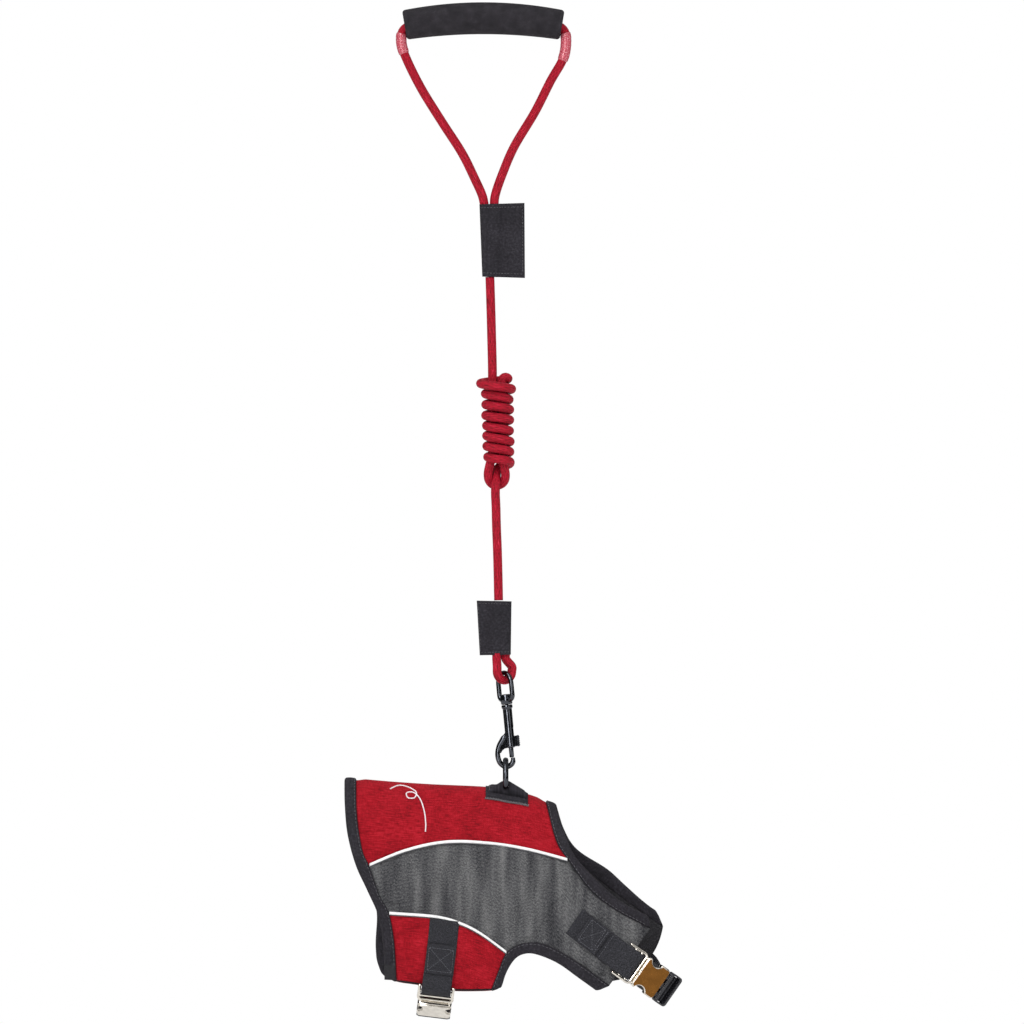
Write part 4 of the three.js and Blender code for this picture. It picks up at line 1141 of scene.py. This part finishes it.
def ring_tunnel():
    """The webbing over the ring's straight bar: it rises to the bar and falls away before and behind."""
    u, v = np.meshgrid(np.linspace(0, 1, 49), np.linspace(0, 1, 25), indexing="ij")
    from_end = np.minimum(u, 1 - u)
    x = mix(PATCH["rear"] + 1, PATCH["front"] - 1, u)
    y = (v - 0.5) * WEB["width"]
    crown = BODY["crown"] * (1 - np.sqrt(1 - (y / BODY["half_width"]) ** 2))
    resting = ridge_height(x) - crown + 2.3 - 1.2 * (1 - smooth(from_end, 0, 0.16))
    lifted = D_RING["bar_z"] + 2.8 - 0.6 * np.maximum(0, np.abs(x - D_RING["x"]) - 3)
    z = np.logaddexp(resting * 1.5, lifted * 1.5) / 1.5 - 0.3
    thick = WEB["thick"] * (0.35 + 0.65 * smooth(from_end, 0, 0.12))
    outer = np.stack([x, y, z + thick], axis=-1)
    inner = np.stack([x, y, np.minimum(resting, z + thick - 0.2) - 0.4], axis=-1)
    piece = slab("ring_tunnel_web", outer, inner, CHARCOAL, np.stack([x, y], axis=-1))
    bar = [(D_RING["x"], across, D_RING["bar_z"]) for across in (-20, 0, 20)]
    cut(piece, tube("bore", bar, D_RING["wire"] + 0.1, CHARCOAL))
    finish_piece(piece, "vest", "webbing", "ring_webbing")
    for index, row in enumerate((3, -4)):
        stitch = stitch_run(f"tunnel_stitch_{index}", outer[row] + (0, 0, 0.2), (0, 0, 1), DARK_THREAD_AND_SHADOW, 2.6)
        finish_piece(stitch, "vest", "charcoal")


def d_ring():
    """The ring: a straight bar with rounded corners, and a bow over it."""
    half, bar, bow = D_RING["half_width"], D_RING["bar_z"], D_RING["bow_z"]
    middle = bow - 0.87 * half
    loop = [(y, bar) for y in np.linspace(half - 1.2, -half + 1.2, 14)]
    loop.append((-half - 0.05, bar + 1.2))
    loop += [(half * cos(a), middle + (bow - middle) * sin(a)) for a in np.linspace(pi, 0, 40)]
    loop.append((half + 0.05, bar + 1.2))
    route = [(D_RING["x"], y, z) for y, z in loop]
    piece = closed_tube("d_ring_wire", route, D_RING["wire"], GUNMETAL, 24)
    finish_piece(piece, "ring", "gunmetal", "d_ring")


ring_patch()
zigzag()
ring_tunnel()
d_ring()

# ---------------------------------------------------------------- swivel bolt snap


def tilted(piece):
    """Moves a part made about the snap's own axis to where the snap hangs."""
    turn = -radians(SNAP["tilt"])
    origin = Vector(SNAP_TOP) * MM
    for vertex in piece.data.vertices:
        x, y, z = vertex.co
        vertex.co = Vector((x * cos(turn) + z * sin(turn), y, -x * sin(turn) + z * cos(turn))) + origin
    return piece


def snap_eye():
    """The eye: an arch with straight legs and a rounded foot, on a hub whose stem turns in the barrel."""
    turn = radians(EYE["turn"] - 90)
    half, corner, shoulder, foot = SNAP["eye_half"], SNAP["eye_corner"], SNAP["shoulder"], SNAP["foot"]
    arch = [(half * cos(a), shoulder + half * sin(a)) for a in np.linspace(0, pi, 26)]
    leg = [(-half, shoulder - 3 - k * 1.6) for k in range(4)]
    leg += [
        (corner - half + corner * cos(a), foot + corner + corner * sin(a))
        for a in np.linspace(pi, 1.5 * pi, 8)
    ]
    base = [(x, foot) for x in (-3, 0, 3)]
    route = arch + leg + base + [(-x, z) for x, z in reversed(leg)]
    loop = [(reach * cos(turn), reach * sin(turn), z) for reach, z in route]
    bow = closed_tube("eye_bow", loop, SNAP["eye_wire"], GUNMETAL, 24)
    hub = lathe("eye_hub", [(2.6, -12), (4.4, -12.4), (4.9, -13.2), (4.9, -19.9), (4.4, -20.8)], GUNMETAL)
    stem = lathe("eye_stem", [(1.4, -20.4), (1.4, -26.2), (2.1, -26.3), (2.1, -27.5)], GUNMETAL, 20)
    piece = tilted(combine("snap_eye_metal", [bow, hub, stem]))
    finish_piece(piece, "swivel_eye", "gunmetal", "snap_eye")


def snap_body():
    """The barrel, the hook's arm with its tip, and the flat web that joins them."""
    neck, collar, wall, bore = SNAP["neck"], SNAP["collar"], SNAP["wall"], SNAP["bore"]
    shell = lathe("barrel", [
        (neck, -21.1), (collar - 0.5, -21.1), (collar, -21.6), (collar, -23.6), (collar - 0.5, -24.2),
        (wall, -24.8), (wall, -25.2), (wall, -56.4), (wall, -56.9), (wall - 0.5, -57.7), (bore, -57.7),
        (bore, -26.8), (neck, -26.8),
    ], GUNMETAL, 48)
    open_barrel(shell)
    route = spline(
        (-3.0, 0, -44.5), (-4.3, 0, -47.6), (-6.6, 0, -50.8), (-10.2, 0, -56), (-11.8, 0, -62.5),
        (-10.6, 0, -69.3), (-6.2, 0, -73.4), (-1.8, 0, -72.4), (0.4, 0, -70), (0.9, 0, -67), count=90,
    )
    share = np.linspace(0, 1, len(route))
    fuller = 0.55 * np.exp(-((share - 0.12) / 0.16) ** 2) + 0.25 * smooth(share, 0.3, 0.6)
    thinner = 0.5 * smooth(share, 0.93, 1) + 1.5 * (1 - smooth(share, 0, 0.12))
    radii = SNAP["hook_wire"] + fuller - thinner
    arm = tube("hook_arm", route, radii, GUNMETAL, 24)
    web = prism("hook_web", [
        (-2.9, -43.5), (-3.6, -43.5), (-6.4, -50.5), (-10.2, -56), (-11, -60.6), (-8.9, -61.6),
        (-7.4, -59.4), (-5.6, -58.1), (-2.9, -57.6),
    ], -1.7, 1.7, GUNMETAL, 0.5)
    for vertex in web.data.vertices:
        vertex.co.y, vertex.co.z = -vertex.co.z, vertex.co.y
    tip = lathe("hook_tip", eased(1.8, -0.7, 0.7, 0.5), GUNMETAL)
    for vertex in tip.data.vertices:
        vertex.co += Vector((0.9, 0, -66.9)) * MM
    piece = tilted(combine("snap_body_metal", [shell, arm, web, tip]))
    finish_piece(piece, "hook", "gunmetal", "snap_body")


def open_barrel(shell):
    """Removes the end caps of the turned barrel, which is a closed wall, and cuts the thumb tab's slot."""
    work = bmesh.new()
    work.from_mesh(shell.data)
    caps = [face for face in work.faces if len(face.verts) > 4]
    rims = [list(face.verts) for face in caps]
    bmesh.ops.delete(work, geom=caps, context="FACES_ONLY")
    for a, b in zip(*[sorted(rim, key=lambda v: atan2(v.co.y, v.co.x)) for rim in rims]):
        a.co.z = b.co.z = (a.co.z + b.co.z) / 2
    edges = [edge for edge in work.edges if edge.is_boundary]
    bmesh.ops.bridge_loops(work, edges=edges)
    bmesh.ops.recalc_face_normals(work, faces=work.faces)
    work.to_mesh(shell.data)
    work.free()
    cutter = make_mesh("slot_cutter", *box_parts((0, -1.5, -59), (5, 1.5, -40)), GUNMETAL, shade=False)
    cut(shell, cutter)


def snap_bolt():
    """The sliding bolt with its ribbed thumb tab."""
    rod = lathe("bolt_rod", [(1.2, -40.3), (2, -40.6), (2, -65.3), (1.7, -65.8), (1.2, -66)], GUNMETAL)
    tab = block("bolt_tab", (0.6, -1.1, -57), (6.6, 1.1, -47.8), GUNMETAL, 0.8)
    pad = block("bolt_pad", (5.6, -1.35, -57.2), (7.7, 1.35, -47.4), GUNMETAL, 0.9)
    tops = np.linspace(-48.7, -55.5, 5)
    ribs = [block("rib", (7.1, -1.3, top - 0.9), (8.1, 1.3, top), GUNMETAL, 0.3) for top in tops]
    piece = tilted(combine("snap_bolt_metal", [rod, tab, pad, *ribs]))
    finish_piece(piece, "bolt", "gunmetal", "snap_bolt")


def snap_spring():
    """The return spring, made at rest; in the real snap the bolt squashes it as it slides back."""
    turns, radius = SNAP["spring_turns"], SNAP["spring_radius"]
    angles = np.linspace(0, 2 * pi * turns, turns * 18)
    heights = np.linspace(*SNAP["spring"], len(angles))
    line = np.column_stack([radius * np.cos(angles), radius * np.sin(angles), heights])
    piece = tilted(tube("snap_spring_wire", line, 0.35, STEEL, 8))
    finish_piece(piece, "hook", "steel", "snap_spring")
    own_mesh(piece)


snap_eye()
snap_body()
snap_bolt()
snap_spring()

# ---------------------------------------------------------------- straps and buckles


def buckle_axes(spec):
    """The buckle's directions; its frame and its male half each bend a little from its shell."""
    down, outward = unit(spec["down"]), np.array((0.0, -1.0, 0.0))
    axes = {"across": np.cross(outward, down)}
    for part, bend in (("frame", -BUCKLE["contour"]), ("shell", 0), ("male", BUCKLE["contour"])):
        angle = radians(spec["turn"] + bend)
        along = down * cos(angle) - outward * sin(angle)
        axes[part] = along, outward * cos(angle) + down * sin(angle)
    x, z, lift = spec["start"]
    axes["start"] = skin(x, z, NEAR, lift)
    axes["origin"] = axes["start"] + BUCKLE["frame"] * axes["frame"][0]
    axes["tail"] = axes["origin"] + (BUCKLE["shell"] + BUCKLE["mouth"]) * axes["shell"][0]
    return axes


def placed(piece, axes, part="shell", origin="origin"):
    """Moves a part made with x along, y across and z outward to where the buckle hangs."""
    along, normal = (Vector(direction) for direction in axes[part])
    across = Vector(axes["across"])
    for vertex in piece.data.vertices:
        x, y, z = vertex.co
        vertex.co = Vector(axes[origin]) * MM + along * x + across * y + normal * z
    face_outward(piece.data)
    return piece


def scalloped(start, end, half, reach, corner):
    """A plate outline with a round bite out of each side for the release tabs."""
    at, center = BUCKLE["scallop_at"], BUCKLE["width"] / 2 + 1
    width = acos(min(1, (center - half) / reach))
    arc = [(at + reach * sin(a), center - reach * cos(a)) for a in np.linspace(-width, width, 12)]
    upper = [(start, half - corner), (start + 0.3 * corner, half - 0.3 * corner), (start + corner, half)]
    upper += arc + [(end - corner, half), (end - 0.3 * corner, half - 0.3 * corner), (end, half - corner)]
    return upper + [(x, -y) for x, y in reversed(upper)]


def buckle_frame(name, axes):
    """The strap frame: two rails with round ends, drawn in to the shell, and three bars between them."""
    half = BUCKLE["frame_width"] / 2 - 1.3
    ends = np.abs(np.linspace(-1, 1, 40))
    radii = BUCKLE["rail"] * np.sqrt(np.clip(1 - ((ends - 0.93) / 0.075).clip(0, 1) ** 2, 0.02, 1))
    parts = []
    for side in (-1, 1):
        inner = ((-9, side * half, 0), (-3, side * half, 0), (1, side * 11.6, 0))
        route = spline((-18.6, side * (half + 0.1), 0), *inner)
        parts.append(tube("rail", resample(route, 40), radii, CHROME, 16))
    for distance in BUCKLE["bars"]:
        x = distance - BUCKLE["frame"]
        line = np.linspace((x, -half, 0), (x, half, 0), 24)
        parts.append(tube("bar", line, BUCKLE["bar"], CHROME, 14))
    return placed(combine(name, parts), axes, "frame")


def female(word, plate, axes):
    """The hollow metal shell with its strap frame, a rim, and the face plate on top."""
    long, half, top = BUCKLE["shell"], BUCKLE["width"] / 2, BUCKLE["height"] / 2
    shell = prism("shell", scalloped(0, long, half, 5.5, 2.4), -top, top, CHROME, 0.6)
    cut(shell, make_mesh("hollow", *box_parts((3, -13.1, -2.2), (24, 13.1, 2.2)), CHROME, shade=False))
    metal = combine(word + "_female_metal", [placed(shell, axes), buckle_frame(word + "_frame", axes)])
    finish_piece(metal, "vest", "chrome", word + "_buckle_female")
    rim = prism("rim", scalloped(0.6, long - 0.3, half - 0.6, 5.9, 2), 3.55, 4.25, CHROME, 0.3)
    finish_piece(placed(rim, axes), "vest", "chrome")
    face = prism("face", scalloped(1.1, long - 0.5, half - 1.1, 6.3, 1.8), 4.1, 4.6, plate, 0.2)
    face.name = word + "_face_plate"
    finish_piece(placed(face, axes), "vest", "chrome", word + "_buckle_plate")


def male(word, axes):
    """The plastic half: a slotted end for the far strap, a tongue, and the roots of the two prongs."""
    low, high = BUCKLE["slot"]
    body = prism("male_slot", rounded((0, -14.4), (BUCKLE["male"], 14.4), 3), -3, 3, PLASTIC, 0.7)
    cut(body, prism("window", rounded((low, -13), (high, 13), 1), -5, 5, PLASTIC, 0.1))
    ribs = [block("rib", (x, -12.6, 2.5), (x + 0.8, 12.6, 3.3), PLASTIC, 0.3) for x in (0.9, 12.2)]
    slotted = placed(combine("slotted", [body, *ribs]), axes, "male", "tail")
    inner = [block("tongue", (3.6, -3, -1.6), (26, 3, 1.6), PLASTIC)]
    inner += [block("root", (22.4, y, -1.7), (26.4, y + 4.3, 1.7), PLASTIC) for y in (-10.8, 6.5)]
    piece = combine(word + "_male_plastic", [slotted, placed(combine("inner", inner), axes)])
    finish_piece(piece, word + "_male", "plastic", word + "_buckle_male")


def prong(word, hand, side, axes):
    """A prong with its release tab, which shows in the shell's scallop."""
    outline = [
        (22.2, 7.3), (22.2, 9.5), (14, 9.6), (13.1, 11.6), (11.6, 12.5), (7, 12.5), (5.4, 11.9), (4.9, 10),
        (3.8, 9), (3.8, 7.6), (4.6, 7.2),
    ]
    piece = prism("prong", [(x, side * y) for x, y in outline], -1.7, 1.7, PLASTIC, 0.4)
    piece.name = f"{word}_prong_{hand}_plastic"
    finish_piece(placed(piece, axes), f"{word}_prong_{hand}", "plastic", f"{word}_buckle_prong_{hand}")


def webbing(name, path, across):
    """A flat band of webbing along a path, with rounded edges and a slight cup; uv is in millimetres."""
    line = spline(*path, count=int(length_of(spline(*path)) / 0.8))
    normal = unit(np.cross(unit(np.gradient(line, axis=0)), across))
    half, thick = WEB["width"] / 2, WEB["thick"] / 2
    reach = [(s * half, thick * sqrt(max(0.06, 1 - abs(s) ** 14))) for s in np.linspace(-1, 1, 25)]
    profile = reach + [(y, -t) for y, t in reversed(reach)]
    layers, uv = [], []
    for center, up, run in zip(line, normal, travelled(line)):
        wave = 0.12 * sin(run * 0.9)
        layers.append([center + across * y + up * (t + wave * y / half) for y, t in profile])
        uv.append([(y, run) for y, _ in profile])
    return rings(name, layers, WEBBING, uv)


def box_stitching(name, ends, rows, across):
    """A stitched rectangle with a cross in it, between two places on the strap, and straight rows."""
    first, last = ends
    corners = [first - across * 10.4, first + across * 10.4, last + across * 10.4, last - across * 10.4]
    runs = [(0, 1), (1, 2), (2, 3), (3, 0), (0, 2), (1, 3)]
    lines = [np.linspace(corners[a], corners[b], 30) for a, b in runs]
    lines += [np.linspace(row - across * 11, row + across * 11, 20) for row in rows]
    for index, line in enumerate(lines):
        piece = stitch_run(f"{name}_{index}", line, (0, -1, 0), STRAP_THREAD, 2.0, 1.6, 0.5)
        finish_piece(piece, "vest", "webbing")


def on_vest(places, side, lift=0.0):
    """Points of the vest at (x, z, lift) places."""
    return [skin(x, z, side, height + lift) for x, z, height in places]


def strap(word, spec, axes):
    """The near strap turns round a bar of the frame; the far one runs from the male half to the vest."""
    along, normal = axes["frame"]
    across, tuck, bar = axes["across"], WEB["tuck"], BUCKLE["bars"][spec["wraps"]]
    turn = [(2, tuck)]
    turn += [(bar + tuck * sin(a), tuck * cos(a)) for a in np.linspace(0, pi, 7)]
    turn.append((bar - tuck, -tuck))
    path = on_vest(spec["sewn"], NEAR, WEB["lift"])
    path += [axes["start"] + along * distance + normal * height for distance, height in turn]
    finish_piece(webbing(word + "_near_web", path, across), "vest", "webbing", word + "_strap_near")
    doubled = on_vest(spec["doubled"], NEAR, WEB["doubled_lift"])
    finish_piece(webbing(word + "_fold_web", doubled, across), "vest", "webbing")
    leave, outward = axes["male"]
    slot = axes["tail"] + leave * sum(BUCKLE["slot"]) / 2
    path = [slot + outward * 1.5, slot - outward * 4, *np.array(spec["hanging"], float)]
    path += on_vest(spec["home"], FAR)
    far = webbing(word + "_far_web", path, across)
    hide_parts(word + "_strap_far")
    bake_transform(far)
    box_stitching(word + "_box_stitch", on_vest(spec["box"], NEAR), on_vest(spec["rows"], NEAR), across)


# the chest plate's bronze-brown is a painted reflection on chrome, the belly plate is plain chrome
for word, spec, plate in (("belly", BELLY, CHROME), ("chest", CHEST, CHROME_PAINTED_REFLECTION)):
    axes = buckle_axes(spec)
    female(word, plate, axes)
    male(word, axes)
    prong(word, "left", -1, axes)
    prong(word, "right", 1, axes)
    strap(word, spec, axes)

# ---------------------------------------------------------------- small trims


def flourish():
    """A plain curl of silver thread, where the back carries its maker's embroidery."""
    curl = spline(
        (-79, -655.5), (-72, -652.8), (-64, -654), (-57, -658.2), (-58.5, -662.8), (-64, -662.6),
        (-65, -658.8), (-59, -658.6), (-53.5, -664), (-50, -674), (-48.8, -684), (-49, -691), count=260,
    )
    line = skin(curl[:, 0], curl[:, 1], NEAR, 1.05)
    finish_piece(tube("silver_flourish", line, 0.55, SILVER_THREAD, 8), "vest", "red")


def end_fold():
    """The folded end of the rear edge binding, which shows as a small dark square; it wears the binding's
    cloth darkened as painted shade.
    """
    u, v = np.meshgrid(np.linspace(-0.02, 0.98, 13), np.linspace(0.925, 1.0, 13), indexing="ij")
    place = mix(on(REAR_OUTER, v), on(REAR_INNER, v), u[..., None])
    border = np.minimum(np.minimum(u + 0.02, 0.98 - u) * 9, np.minimum(v - 0.925, 1 - v) * 130)
    lift = 1.0 + 0.9 * smooth(border, 0, 1.4)
    outer = skin(place[..., 0], place[..., 1], NEAR, lift)
    inner = skin(place[..., 0], place[..., 1], NEAR, 0.6)
    finish_piece(slab("rear_end_fold", outer, inner, BINDING_PAINTED_SHADE, place), "vest", "charcoal")


flourish()
end_fold()

# ---------------------------------------------------------------- floor and light


def studio():
    white = Nodes("floor", Roughness=0.9)
    white.shader.inputs["Base Color"].default_value = (0.93, 0.93, 0.93, 1)
    rim = [(FLOOR["radius"] * cos(a), FLOOR["radius"] * sin(a), FLOOR["z"]) for a in circle(64)]
    floor = make_mesh("floor", rim, [tuple(range(64))], white.material)
    world = bpy.data.worlds.new("studio")
    bpy.context.scene.world = world
    world.use_nodes = True
    tree = world.node_tree
    background = tree.nodes["Background"]
    direction = tree.nodes.new("ShaderNodeSeparateXYZ")
    tree.links.new(tree.nodes.new("ShaderNodeTexCoord").outputs["Generated"], direction.inputs[0])
    rays = tree.nodes.new("ShaderNodeLightPath").outputs

    def math_node(operation, a, b=0.0):
        node = tree.nodes.new("ShaderNodeMath")
        node.operation = operation
        for socket, value in zip(node.inputs, (a, b)):
            if isinstance(value, bpy.types.NodeSocket):
                tree.links.new(value, socket)
            else:
                socket.default_value = value
        return node.outputs[0]

    def eased_range(value, low, high, start, stop):
        node = tree.nodes.new("ShaderNodeMapRange")
        node.interpolation_type = "SMOOTHSTEP"
        tree.links.new(value, node.inputs["Value"])
        for socket, number in (("From Min", low), ("From Max", high), ("To Min", start), ("To Max", stop)):
            node.inputs[socket].default_value = number
        return node.outputs[0]

    sky = eased_range(direction.outputs[2], -0.5, 0.6, SKY["low"], SKY["high"])
    front = eased_range(direction.outputs[1], -0.9, 0.5, SKY["front"], SKY["back"])
    soft = math_node("MULTIPLY", sky, front)
    off_line = math_node("DIVIDE", math_node("SUBTRACT", direction.outputs[0], STRIP["at"]), STRIP["width"])
    strip = math_node("POWER", 0.5, math_node("MULTIPLY", off_line, off_line))
    ahead = eased_range(direction.outputs[1], -0.4, 0.2, 1, 0)
    above = eased_range(direction.outputs[2], 0.25, 0.8, STRIP["dark"], STRIP["above"])
    line = math_node("MULTIPLY", math_node("MULTIPLY", strip, ahead), STRIP["bright"])
    mirrored = math_node("ADD", line, above)
    glossy = rays["Is Glossy Ray"]
    plain = math_node("MULTIPLY", soft, math_node("SUBTRACT", 1, glossy))
    unseen = math_node("ADD", plain, math_node("MULTIPLY", mirrored, glossy))
    seen = math_node("MAXIMUM", unseen, rays["Is Camera Ray"])
    tree.links.new(seen, background.inputs["Strength"])
    background.inputs["Color"].default_value = (1, 1, 1, 1)
    bpy.context.scene.view_settings.view_transform = "Standard"


def area_light(name, place, target, size, power):
    data = bpy.data.lights.new(name, "AREA")
    data.energy = power
    data.size = size
    light = bpy.data.objects.new(name, data)
    light.location = place
    light.rotation_euler = (Vector(target) - Vector(place)).to_track_quat("-Z", "Y").to_euler()
    bpy.context.scene.collection.objects.link(light)


studio()
area_light("key", (-1.4, -2.4, 1.2), (0, 0, -0.45), 1.0, 30)
area_light("fill", (1.8, -2.2, 0.2), (0, 0, -0.5), 1.4, 12)
